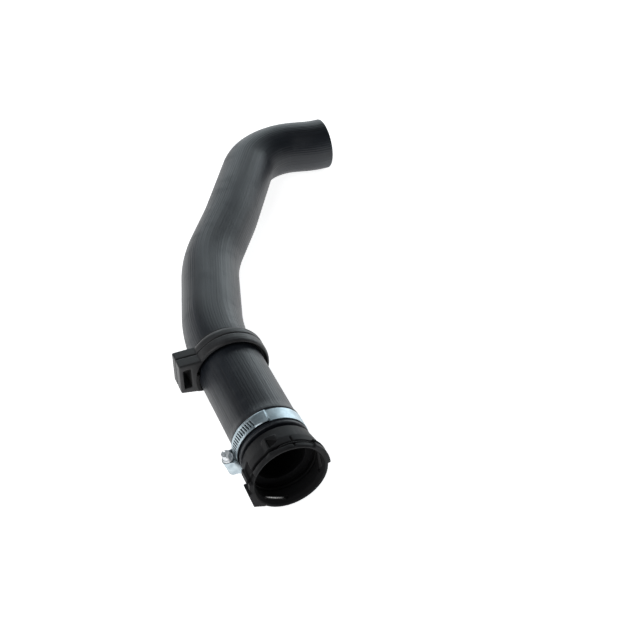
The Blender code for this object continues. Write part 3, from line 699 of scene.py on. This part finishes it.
# %% The flat pad
# The pad's left slope runs further round the socket towards the rim, so it is drawn at its
# inner end and its outer end is spread from the pad's right edge.
PAD_RIGHT = 99.0
PAD_RIDGE = 113.5
PAD_FOOT = 120.5
PAD_SPREAD = 1.27
RIDGE_RADIUS = 33.4 * MM

pad_outline = [
    polar(PAD_START, PAD_RIGHT, BODY_RADIUS - 0.2 * MM),
    polar(PAD_START, PAD_RIDGE, RIDGE_RADIUS),
    polar(PAD_START, PAD_FOOT, BODY_RADIUS - 0.1 * MM),
    *[polar(PAD_START, angle, sunk) for angle in (PAD_FOOT, 115, 109, 104, PAD_RIGHT)],
]
pad = pushed("flat_pad", pad_outline, PAD_LENGTH)
for vertex in pad.data.vertices:
    if vertex.co.y < PAD_START + PAD_LENGTH / 2:
        across_part, up_part = vertex.co.x - AXIS_X, vertex.co.z - AXIS_Z
        angle = math.degrees(math.atan2(up_part, across_part))
        spread = PAD_RIGHT + (angle - PAD_RIGHT) * PAD_SPREAD
        vertex.co = polar(vertex.co.y, spread, math.hypot(across_part, up_part))
combine(socket, pad, "UNION")

# %% The arrow pocket in the pad, the side pocket and the tick
POCKET_DEPTH = 2.2 * MM
pocket_floor = BODY_RADIUS - POCKET_DEPTH / 2
pocket = draw_line("pad_pocket", [
    polar(RIM_Y + 8.0 * MM, 114.5, pocket_floor),
    polar(RIM_Y + 17.3 * MM, 114.0, pocket_floor),
    polar(RIM_Y + 12.0 * MM, 99.0, pocket_floor),
], closed=True)
bpy.ops.mesh.edge_face_add()
pocket_out = polar(0, 109, 6.0 * MM) - polar(0, 109, 0)
bpy.ops.mesh.extrude_region_move(TRANSFORM_OT_translate={"value": pocket_out})
close_up()
combine(socket, pocket, "DIFFERENCE")
side_outline = arc_outline(RIM_Y - MM, (155, 171), BODY_RADIUS - 1.7 * MM, BODY_RADIUS + 3 * MM)
combine(socket, pushed("side_pocket", side_outline, 18.5 * MM), "DIFFERENCE")
tick_outline = arc_outline(PAD_START, (79.4, 82.6), BODY_RADIUS - 1.3 * MM, BODY_RADIUS + MM, 2)
combine(socket, pushed("tick", tick_outline, 11.0 * MM), "DIFFERENCE")

# %% The groove for the wire
# The groove's corners are turned a little, so that none of them meets a corner of the socket.
GROOVE_SIDES = 120
GROOVE_TURN = 0.7
groove_start = WIRE_Y - WIRE_RADIUS - GROOVE_ROOM
groove_width = 2 * (WIRE_RADIUS + GROOVE_ROOM)
groove_angles = [i * 360.0 / GROOVE_SIDES + GROOVE_TURN for i in range(GROOVE_SIDES)]
groove_outline = [polar(groove_start, angle, BODY_RADIUS + 3 * MM) for angle in groove_angles]
groove_ring = pushed("wire_groove", groove_outline, groove_width)
floor_outline = [
    polar(groove_start - MM, angle, wire_reach(angle) - WIRE_RADIUS - WIRE_PLAY)
    for angle in groove_angles
]
combine(groove_ring, pushed("groove_floor", floor_outline, groove_width + 2 * MM), "DIFFERENCE")
combine(socket, groove_ring, "DIFFERENCE")
soften(socket, SKIN_GRAIN, 3)
print("socket", triangles(socket), "triangles")

# %% The spigot inside the hose
# The spigot starts within the socket's own stub. It is a hair thinner, so no faces coincide.
SPIGOT_EASE = 0.05 * MM
spigot = turned("coupling_spigot", [
    (NECK_Y + 2.0 * MM, SPIGOT_RADIUS - SPIGOT_EASE),
    (SPIGOT_END_Y - 1.5 * MM, SPIGOT_RADIUS - SPIGOT_EASE),
    (SPIGOT_END_Y - 0.4 * MM, SPIGOT_RADIUS - 0.5 * MM),
    (SPIGOT_END_Y, SPIGOT_RADIUS - 1.5 * MM),
    (SPIGOT_END_Y, SPIGOT_BORE + SPIGOT_EASE),
    (NECK_Y + 2.0 * MM, SPIGOT_BORE + SPIGOT_EASE),
])
shade(spigot)

# %% [markdown]
# ## The seal and the wire clip
#
# The seal is a turned rubber ring with a soft lip. The clip is spring wire, so it is a curve with
# a round section, and its ends are closed.

# %% The seal ring
seal_start, seal_end = SEAL_Y + FIT, SEAL_Y + SEAL_WIDTH - FIT
seal_middle = (seal_start + seal_end) / 2
seal_outer = SOCKET_RADIUS + SEAL_DEPTH - FIT
lip = [
    (seal_middle + 1.7 * MM * math.cos(math.radians(angle)),
     SOCKET_RADIUS + 0.3 * MM - 1.4 * MM * math.sin(math.radians(angle)))
    for angle in range(180, -1, -20)
]
seal = turned("seal_lip", [(seal_start, seal_outer), *lip, (seal_end, seal_outer)])
shade(seal)

# %% The wire clip
WIRE_ENDS = (-149, 163)
wire_angles = range(WIRE_ENDS[0], WIRE_ENDS[1] + 1, 2)
bpy.ops.object.select_all(action="DESELECT")
bpy.ops.curve.primitive_bezier_curve_add(location=(0, 0, 0))
wire = bpy.context.object
wire.name = "clip_wire"
wire.data.splines.clear()
line = wire.data.splines.new("POLY")
line.points.add(len(wire_angles) - 1)
for point, angle in zip(line.points, wire_angles):
    point.co = (*polar(WIRE_Y, angle, wire_reach(angle)), 1)
wire.data.dimensions = "3D"
wire.data.bevel_depth = WIRE_RADIUS
wire.data.bevel_resolution = 6
wire.data.use_fill_caps = True
bpy.ops.object.convert(target="MESH")
shade(wire)
print("wire", triangles(wire), "triangles")

# %% [markdown]
# ## The worm drive clamp
#
# A real band is punched flat and then rolled, and so is this one. A flat strip gets its slanted
# slots and rounded edges first. Then every point of it is wrapped round the hose. The last part
# of the strip runs over the first, so it steps up by its own thickness where it passes itself.

# %% Sizes of the band
BAND_WIDTH = 12.0 * MM
BAND_THICKNESS = 0.7 * MM
BAND_START_ANGLE = 225.0
BAND_TAIL_ANGLE = 94.0
JOGGLE_ANGLE = 20.0
BAND_INNER = SEAT_RADIUS + FIT
TAIL_INNER = BAND_INNER + BAND_THICKNESS + FIT
BAND_OUTER = TAIL_INNER + BAND_THICKNESS
SLOT_PITCH = 2.4 * MM
SLOT_COUNT = 23
FIRST_SLOT_ANGLE = 119.5
SLOT_SLANT = 12.0
SLOT_LENGTH = 7.6 * MM
SLOT_BREADTH = 1.15 * MM
BAND_TURN = 360.0 + BAND_START_ANGLE - BAND_TAIL_ANGLE
COLUMN_TURN = 2
TAIL_MARGIN = 3.0

# A degree of the wrap takes this length of the flat strip. The strip's first stretch lies
# under the tail, to just before the tail's end.
DEGREE = BAND_OUTER * math.radians(1.0)
UNDER_LENGTH = (BAND_START_ANGLE - BAND_TAIL_ANGLE - TAIL_MARGIN) * DEGREE

# %% The flat strip and its slots
strip_length = BAND_TURN * DEGREE
strip = box_piece(
    "clamp_strip", (0, -BAND_WIDTH / 2, 0), (strip_length, BAND_WIDTH / 2, BAND_THICKNESS))
slot_cut = None
for number in range(SLOT_COUNT):
    angle = FIRST_SLOT_ANGLE + number * SLOT_PITCH / DEGREE
    middle = (BAND_START_ANGLE + 360.0 - angle) * DEGREE
    bar = box_piece(
        "slot_bar",
        (-SLOT_BREADTH / 2, -SLOT_LENGTH / 2, -MM),
        (SLOT_BREADTH / 2, SLOT_LENGTH / 2, 2 * MM))
    use_modifier(bar, "BEVEL", width=0.5 * MM, segments=4, limit_method="NONE", affect="EDGES")
    bar.rotation_euler.z = math.radians(SLOT_SLANT)
    bar.location.x = middle
    bpy.ops.object.transform_apply(location=True, rotation=True, scale=True)
    slot_cut = bar if slot_cut is None else combine(slot_cut, bar, "UNION")
combine(strip, slot_cut, "DIFFERENCE")
bevel(strip, 0.12 * MM, 2)

# %% Columns for the bend, and the wrap
pick(strip)
bpy.ops.object.mode_set(mode="EDIT")
for column in range(COLUMN_TURN, int(BAND_TURN - COLUMN_TURN / 2), COLUMN_TURN):
    bpy.ops.mesh.select_all(action="SELECT")
    bpy.ops.mesh.bisect(plane_co=(column * DEGREE, 0, 0), plane_no=(1, 0, 0))
bpy.ops.object.mode_set(mode="OBJECT")
flat_place = strip.data.attributes.new("flat_place", "FLOAT_VECTOR", "POINT")
for vertex in strip.data.vertices:
    flat_place.data[vertex.index].vector = vertex.co
    run = vertex.co.x / DEGREE
    t = min(max((run - 360.0 + JOGGLE_ANGLE) / JOGGLE_ANGLE, 0.0), 1.0)
    low = BAND_INNER + (TAIL_INNER - BAND_INNER) * t * t * (3 - 2 * t)
    vertex.co = polar(BAND_Y + vertex.co.y, BAND_START_ANGLE - run, low + vertex.co.z)
use_modifier(strip, "WEIGHTED_NORMAL", keep_sharp=True)
shade(strip, 40)
print("band", triangles(strip), "triangles")

# %% [markdown]
# ## The clamp's housing and screw
#
# The housing is pressed steel, folded over the screw. It is drawn as the section seen along the
# screw, pushed to length and bevelled. The screw is a round core with a real worm thread, a
# round flange and a hexagon head with a driver slot. Both are modelled lying along X with the
# hose's axis below, and then they are turned into their place on the clamp.

# %% Sizes of the housing and screw
HOUSING_ANGLE = 198.0
HOUSING_LENGTH = 15.0 * MM
HOUSING_WALL = 1.0 * MM
HOUSING_SHOULDER = 2.4 * MM
WORM_RADIUS = 4.1 * MM
WORM_PITCH = 2.4 * MM
WORM_GROOVE = 0.7 * MM
WORM_AXIS = BAND_OUTER + FIT + WORM_RADIUS
FLANGE_RADIUS = 4.8 * MM
FLANGE_THICKNESS = 1.2 * MM
HEAD_ACROSS = 7.0 * MM
HEAD_LENGTH = 5.4 * MM
DRIVER_WIDTH = 1.2 * MM
DRIVER_DEPTH = 2.0 * MM
WORM_INSET = 0.4 * MM
THREAD_SINK = 0.15 * MM

turn = math.radians(HOUSING_ANGLE)
to_clamp = Matrix((
    (-math.sin(turn), 0, math.cos(turn), AXIS_X),
    (0, 1, 0, BAND_Y),
    (math.cos(turn), 0, math.sin(turn), AXIS_Z),
    (0, 0, 0, 1),
))


def place_on_clamp(thing):
    """From the bench, where X runs along the screw and Z points out, to the clamp."""
    pick(thing)
    thing.matrix_world = to_clamp
    bpy.ops.object.transform_apply(location=True, rotation=True, scale=True)
    bpy.ops.object.mode_set(mode="EDIT")
    bpy.ops.mesh.select_all(action="SELECT")
    bpy.ops.mesh.normals_make_consistent(inside=False)
    bpy.ops.object.mode_set(mode="OBJECT")
    return thing


# %% The housing
half_in = BAND_WIDTH / 2 + FIT
half_out = half_in + HOUSING_WALL
arch_in = WORM_RADIUS + FIT
arch_out = arch_in + HOUSING_WALL
foot = BAND_INNER + BAND_THICKNESS / 2
ledge = BAND_OUTER + FIT
shoulder = ledge + HOUSING_SHOULDER
section = [(half_out, foot), (half_out, shoulder - MM), (half_out - MM, shoulder)]
section += [
    (arch_out * math.cos(math.radians(a)), WORM_AXIS + arch_out * math.sin(math.radians(a)))
    for a in range(0, 181, 9)
]
section += [(MM - half_out, shoulder), (-half_out, shoulder - MM), (-half_out, foot)]
section += [(-half_in, foot), (-half_in, ledge), (half_in, ledge), (half_in, foot)]
left_end = -HOUSING_LENGTH / 2
section_line = [(left_end, across, out) for across, out in section]
housing = draw_line("clamp_saddle", section_line, closed=True)
bpy.ops.mesh.edge_face_add()
bpy.ops.mesh.extrude_region_move(TRANSFORM_OT_translate={"value": (HOUSING_LENGTH, 0, 0)})
close_up()


def rod(name, radius, start, end, sides=48):
    """A cylinder along the screw's axis."""
    bpy.ops.object.select_all(action="DESELECT")
    bpy.ops.mesh.primitive_cylinder_add(
        vertices=sides, radius=radius, depth=end - start,
        location=((start + end) / 2, 0, WORM_AXIS), rotation=(0, math.pi / 2, 0))
    thing = bpy.context.object
    thing.name = name
    bpy.ops.object.transform_apply(location=True, rotation=True, scale=True)
    return thing


combine(housing, rod("worm_room", arch_in, -HOUSING_LENGTH, HOUSING_LENGTH), "DIFFERENCE")
bevel(housing, 0.2 * MM, 2, 40)
place_on_clamp(housing)
shade(housing, 30)

# %% The screw
half = HOUSING_LENGTH / 2
flange_start = -half - FIT - FLANGE_THICKNESS
core_start = flange_start + FLANGE_THICKNESS / 2
screw = rod("clamp_worm", WORM_RADIUS - WORM_GROOVE, core_start, half - WORM_INSET)
bevel(screw, 0.3 * MM, 2)
flange = rod("screw_flange", FLANGE_RADIUS, flange_start, flange_start + FLANGE_THICKNESS, 64)
bevel(flange, 0.3 * MM, 3)
combine(screw, flange, "UNION")
corner = HEAD_ACROSS / 2 / math.cos(math.pi / 6)
head_start = flange_start - HEAD_LENGTH
head = rod("screw_head", corner, head_start, core_start, 6)
dome_radius = HEAD_ACROSS / 2 * 1.06
dome = rod("head_dome", dome_radius, head_start - MM, flange_start + FLANGE_THICKNESS, 64)
bevel(dome, 1.4 * MM, 4)
combine(head, dome, "INTERSECT")
driver = box_piece(
    "driver_slot",
    (head_start - DRIVER_DEPTH, -corner * 1.3, WORM_AXIS - DRIVER_WIDTH / 2),
    (head_start + DRIVER_DEPTH, corner * 1.3, WORM_AXIS + DRIVER_WIDTH / 2))
combine(head, driver, "DIFFERENCE")
bevel(head, 0.15 * MM, 2, 35)
combine(screw, head, "UNION")

# %% The worm thread
thread_start = -half + WORM_INSET
turns = int((HOUSING_LENGTH - WORM_PITCH) / WORM_PITCH)
root = WORM_RADIUS - WORM_GROOVE - THREAD_SINK
thread = draw_line("worm_thread", [
    (thread_start, 0, root),
    (thread_start + WORM_PITCH * 0.30, 0, WORM_RADIUS),
    (thread_start + WORM_PITCH * 0.55, 0, WORM_RADIUS),
    (thread_start + WORM_PITCH * 0.85, 0, root),
], closed=True)
bpy.ops.object.mode_set(mode="OBJECT")
use_modifier(thread, "SCREW", axis="X", angle=math.tau, steps=40, render_steps=40,
             screw_offset=WORM_PITCH, iterations=turns, use_merge_vertices=False)
bpy.ops.object.mode_set(mode="EDIT")
bpy.ops.mesh.select_all(action="SELECT")
bpy.ops.mesh.fill_holes(sides=0)
bpy.ops.transform.translate(value=(0, 0, WORM_AXIS))
close_up()
bpy.ops.object.select_all(action="DESELECT")
thread.select_set(True)
screw.select_set(True)
bpy.context.view_layer.objects.active = screw
bpy.ops.object.join()
place_on_clamp(screw)
shade(screw, 30)
print("screw", triangles(screw), "triangles")

# %% [markdown]
# ## Finishes
#
# The hose is a very dark blue grey with a satin face. Between its modelled ridges lies a finer
# grain, from noise stretched along the hose in the straight tube's own coordinates. The ring and
# the coupling are blacker, with a fine moulded texture, and the clamp is blue-white zinc.


# %% Hose rubber
def hose_rubber():
    material, flow = new_finish("hose_rubber_ridged")
    place = flow.node("ShaderNodeAttribute", output="Vector", attribute_name="straight_place")
    long_grain = flow.stretched(place, (1, 0.025, 1))
    ridges = flow.noise(long_grain, 420, 2.5)
    fine = flow.noise(flow.stretched(place, (1, 0.08, 1)), 1500, 2)
    cloud = flow.noise(flow.stretched(place, (1, 0.5, 1)), 38, 5)
    bloom = flow.noise(flow.stretched(place, (1, 1.6, 1)), 60, 6).clear_step(0.52, 0.72)
    dust = flow.noise(place, 900, 4).clear_step(0.6, 0.78)
    tone = (ridges * 0.5 + cloud * 0.5).clear_step(0.32, 0.68)
    colour = tone.blend((0.0065, 0.0085, 0.0125), (0.014, 0.018, 0.0245))
    colour = (dust * 0.12 + bloom * 0.16).blend(colour, (0.05, 0.058, 0.065))
    height = ridges * 0.75 + fine * 0.25
    links = {
        "Base Color": colour,
        "Roughness": 0.44 - ridges * 0.14 + cloud * 0.14 + bloom * 0.08,
        "Normal": bumps(flow, height, 0.8, 0.5 * MM),
    }
    return set_finish(material, flow, links, {"Specular IOR Level": 0.5})


# %% Painted shade: where the finish is painted dark and dull
PAINTED_SHADE_TONE = (0.013, 0.013, 0.0136)
HOLLOW_DULLNESS = 0.35


def reach_of(flow, place):
    """How far a point is from the coupling's axis."""
    across, up = place.part("X") - AXIS_X, place.part("Z") - AXIS_Z
    return flow.sum("SQRT", across * across + up * up, 0.0)


def socket_painted_shade(flow, place):
    """Painted shade: 1 in the socket's bore, pockets and grooves, and 0 on its outer skin."""
    along = place.part("Y")
    flare = {"Value": along, "From Min": FLARE_Y, "From Max": SHOULDER_Y,
             "To Min": BODY_RADIUS, "To Max": SHOULDER_RADIUS}
    depth = flow.node("ShaderNodeMapRange", flare) - reach_of(flow, place)
    past_rim = along.clear_step(RIM_Y + 0.6 * MM, RIM_Y + 1.6 * MM)
    return depth.clear_step(0.3 * MM, 0.9 * MM) * past_rim


def mount_painted_shade(flow, place):
    """Painted shade: 1 in the mount's parting groove, mouth and slot, which are painted dark."""
    off_groove = flow.sum("ABSOLUTE", place.part("Y") - RING_GROOVE_Y, 0.0)
    groove = 1 - off_groove.clear_step(0.3 * MM, 0.75 * MM)
    x, z = place.part("X"), place.part("Z")
    edge = 0.4 * MM
    beside = x.clear_step(slot_left - edge, slot_left) * (
        1 - x.clear_step(slot_left + SLOT_SIZE[0], slot_left + SLOT_SIZE[0] + edge))
    between = z.clear_step(slot_high - SLOT_SIZE[1] - edge, slot_high - SLOT_SIZE[1]) * (
        1 - z.clear_step(slot_high, slot_high + edge))
    behind = place.part("Y").clear_step(RING_Y + 0.2 * MM, RING_Y + 0.8 * MM)
    # Painted shade inside the ring's mouth.
    within = 1 - reach_of(flow, place).clear_step(MOUTH_RADIUS, LIP_RADIUS)
    return flow.sum("MAXIMUM", flow.sum("MAXIMUM", groove, within), beside * between * behind)


# %% Moulded rubber and plastic
def moulded(name, dark, light, gloss, grain, depth, shine, painted_shade=None):
    """A moulded surface: cloudy tone, fine grain and a little wear on its gloss.

    The gloss is its roughness, the grain and depth are its bumps' fineness and height, and the
    shine is its mirror strength. The painted shade marks recesses that are painted dark and dull.
    """
    material, flow = new_finish(name)
    place = flow.node("ShaderNodeTexCoord", output="Object")
    cloud = flow.noise(place, 70, 3)
    grit = flow.noise(place, grain, 2)
    rub = flow.noise(flow.stretched(place, (1, 0.3, 1)), 400, 3).clear_step(0.5, 0.75)
    colour = cloud.clear_step(0.3, 0.7).blend(dark, light)
    roughness = gloss + cloud * 0.12 - rub * 0.08
    # Painted shade: recesses are painted dark and made duller, standing in for the shade in them.
    if painted_shade:
        shade_mask = painted_shade(flow, place)
        colour = shade_mask.blend(colour, PAINTED_SHADE_TONE)
        roughness = roughness + shade_mask * HOLLOW_DULLNESS
    links = {"Base Color": colour, "Roughness": roughness, "Normal": bumps(flow, grit, 0.35, depth)}
    return set_finish(material, flow, links, {"Specular IOR Level": shine})


# %% Zinc plate
# Painted shade for the stretch of band that lies under its own end.
UNDER_SHADE_TONE = (0.02, 0.023, 0.026)


def zinc(name, low, high, gloss, place_name=None, painted_shade_below=None):
    """Blue-white zinc: a cloudy tint, fine drawn lines and soft scratches.

    Below a length of the flat strip it is painted dark, as painted shade where the band lies under
    its own end.
    """
    material, flow = new_finish(name)
    if place_name:
        place = flow.node("ShaderNodeAttribute", output="Vector", attribute_name=place_name)
    else:
        place = flow.node("ShaderNodeTexCoord", output="Object")
    cloud = flow.noise(place, 160, 3)
    drawn = flow.noise(flow.stretched(place, (0.04, 1, 1)), 5200, 2)
    scratch = flow.noise(flow.stretched(place, (0.1, 1, 0.4)), 900, 4).clear_step(0.62, 0.7)
    colour = cloud.clear_step(0.35, 0.65).blend(low, high)
    # Painted shade: the stretch under the band's own end is painted dark.
    if painted_shade_below:
        showing = place.part("X").clear_step(painted_shade_below, painted_shade_below + MM)
        colour = showing.blend(UNDER_SHADE_TONE, colour)
    links = {
        "Base Color": colour,
        "Roughness": gloss + drawn * 0.1 + scratch * 0.12,
        "Normal": bumps(flow, drawn * 0.6 + scratch * 0.4, 0.25, 0.05 * MM),
    }
    return set_finish(material, flow, links, {"Metallic": 1.0})


# %% The clip's wire
# A painted highlight: a thin bright metal line on the wire, low in the socket.
GLINT_TONE = (0.85, 0.84, 0.82)
WIRE_TONE = (0.004, 0.004, 0.0045)
GLINT_FROM_MIDDLE = 0.55 * MM


def clip_wire():
    """Dark spring wire, with a painted highlight in a thin bright line low in the socket."""
    material, flow = new_finish("spring_wire_painted_glint")
    place = flow.node("ShaderNodeTexCoord", output="Object")
    up = place.part("Z") - AXIS_Z
    reach = reach_of(flow, place)
    drawn = flow.noise(flow.stretched(place, (1, 0.1, 1)), 2500, 3)
    inside = 1 - reach.clear_step(SOCKET_RADIUS - 1.0 * MM, SOCKET_RADIUS - 0.5 * MM)
    low = 1 - up.clear_step(-22.0 * MM, -15.0 * MM)
    off_line = flow.sum("ABSOLUTE", place.part("Y") - (WIRE_Y - GLINT_FROM_MIDDLE), 0.0)
    line = 1 - off_line.clear_step(0.28 * MM, 0.5 * MM)
    painted_glint = inside * low * line * drawn.clear_step(0.3, 0.55)
    links = {
        "Base Color": painted_glint.blend(WIRE_TONE, GLINT_TONE),
        "Metallic": painted_glint,
        "Roughness": 0.6 - painted_glint * 0.38 + drawn * 0.05,
        "Normal": bumps(flow, drawn, 0.2, 0.03 * MM),
    }
    return set_finish(material, flow, links, {"Specular IOR Level": 0.2})


# %% The finish of each slot
finishes = {
    "hose_rubber": hose_rubber(),
    "mount_rubber": moulded(
        "mount_rubber_moulded", (0.026, 0.026, 0.0272), (0.036, 0.0363, 0.038),
        gloss=0.4, grain=1800, depth=0.12 * MM, shine=0.35, painted_shade=mount_painted_shade),
    "coupling_plastic": moulded(
        "coupling_plastic_moulded", (0.016, 0.016, 0.0168), (0.023, 0.0233, 0.0245),
        gloss=0.42, grain=2600, depth=0.06 * MM, shine=0.08, painted_shade=socket_painted_shade),
    "seal_rubber": moulded(
        "seal_rubber_plain", (0.003, 0.003, 0.003), (0.006, 0.006, 0.006),
        gloss=0.5, grain=2000, depth=0.05 * MM, shine=0.1),
    "spring_steel": clip_wire(),
    "band_zinc": zinc(
        "band_zinc_plate", (0.36, 0.43, 0.47), (0.48, 0.56, 0.60),
        gloss=0.36, place_name="flat_place", painted_shade_below=UNDER_LENGTH),
    "housing_zinc": zinc("housing_zinc_plate", (0.38, 0.45, 0.49), (0.52, 0.60, 0.64), gloss=0.3),
    "screw_zinc": zinc("screw_zinc_dull", (0.75, 0.78, 0.80), (0.92, 0.94, 0.96), gloss=0.48),
}

# %% [markdown]
# ## Putting it together
#
# Each piece takes its finish, rides on the part's one body and stands for its node.

# %% Finish, ride and replace
dressed = (
    (hose, "hose", "hose_rubber"),
    (mount, "mount_ring", "mount_rubber"),
    (socket, "coupling_body", "coupling_plastic"),
    (spigot, "coupling_body", "coupling_plastic"),
    (seal, "seal_ring", "seal_rubber"),
    (wire, "wire_clip", "spring_steel"),
    (strip, "clamp_band", "band_zinc"),
    (housing, "clamp_housing", "housing_zinc"),
    (screw, "clamp_screw", "screw_zinc"),
)
for piece, node, finish in dressed:
    piece.data.materials.clear()
    piece.data.materials.append(finishes[finish])
    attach(piece, "root")
    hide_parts(node)

# %% [markdown]
# ## Floor and light
#
# The photograph is a black part on pure white. The floor is white and glows, so that shadows
# fade on it. A large cool softbox behind and to the right draws the broad highlight along the
# hose's right side and on the clamp, and the dim sky overhead leaves the middle dark.

# %% The floor
FLOOR_SIZE = 80.0
FLOOR_GLOW = 0.9

bpy.ops.object.select_all(action="DESELECT")
bpy.ops.mesh.primitive_plane_add(size=FLOOR_SIZE)
floor = bpy.context.object
floor.name = "studio_floor"
floor_paint, floor_flow = new_finish("floor_white")
set_finish(floor_paint, floor_flow, {}, {
    "Base Color": (0.92, 0.92, 0.92, 1),
    "Roughness": 0.8,
    "Emission Color": (1, 1, 1, 1),
    "Emission Strength": FLOOR_GLOW,
})
floor.data.materials.append(floor_paint)


# %% The lights
def softbox(name, place, width, height, power, aim=(0, 0, 0), colour=(1, 1, 1)):
    """A rectangular light at a place in metres, with its power in watts, that faces its aim."""
    bpy.ops.object.light_add(type="AREA", location=place)
    lamp = bpy.context.object
    lamp.name = name
    lamp.data.shape = "RECTANGLE"
    lamp.data.size = width
    lamp.data.size_y = height
    lamp.data.energy = power
    lamp.data.color = colour
    lamp.rotation_euler = (Vector(place) - Vector(aim)).to_track_quat("Z", "Y").to_euler()
    return lamp


COOL = (0.86, 0.96, 1.0)
softbox("top_light", (-2.2, -0.8, 3.0), 2.6, 2.6, 48)
softbox("back_wall", (1.2, 3.0, 1.35), 3.2, 2.4, 42, aim=(1.2, 0, 1.35), colour=COOL)
softbox("right_light", (1.9, 1.4, 0.6), 1.2, 1.2, 12, colour=COOL)
softbox("left_light", (-2.0, 0.7, 0.55), 0.8, 0.8, 4.5)

# %% The sky, pale near the floor and dim overhead
PALE_SKY = (0.5, 0.52, 0.54)
DIM_SKY = (0.06, 0.065, 0.07)

sky = bpy.data.worlds.new("studio_sky")
sky.use_nodes = True
sky.node_tree.nodes.clear()
air = Flow(sky.node_tree)
height = air.node("ShaderNodeTexCoord", output="Object").part("Z")
glow = height.clear_step(0.04, 0.3).blend(PALE_SKY, DIM_SKY)
backdrop = air.node("ShaderNodeBackground", {"Color": glow, "Strength": 1.0})
air.node("ShaderNodeOutputWorld", {"Surface": backdrop})
bpy.context.scene.world = sky

# The default view would turn pure white grey beside a dark part.
bpy.context.scene.view_settings.view_transform = "Standard"
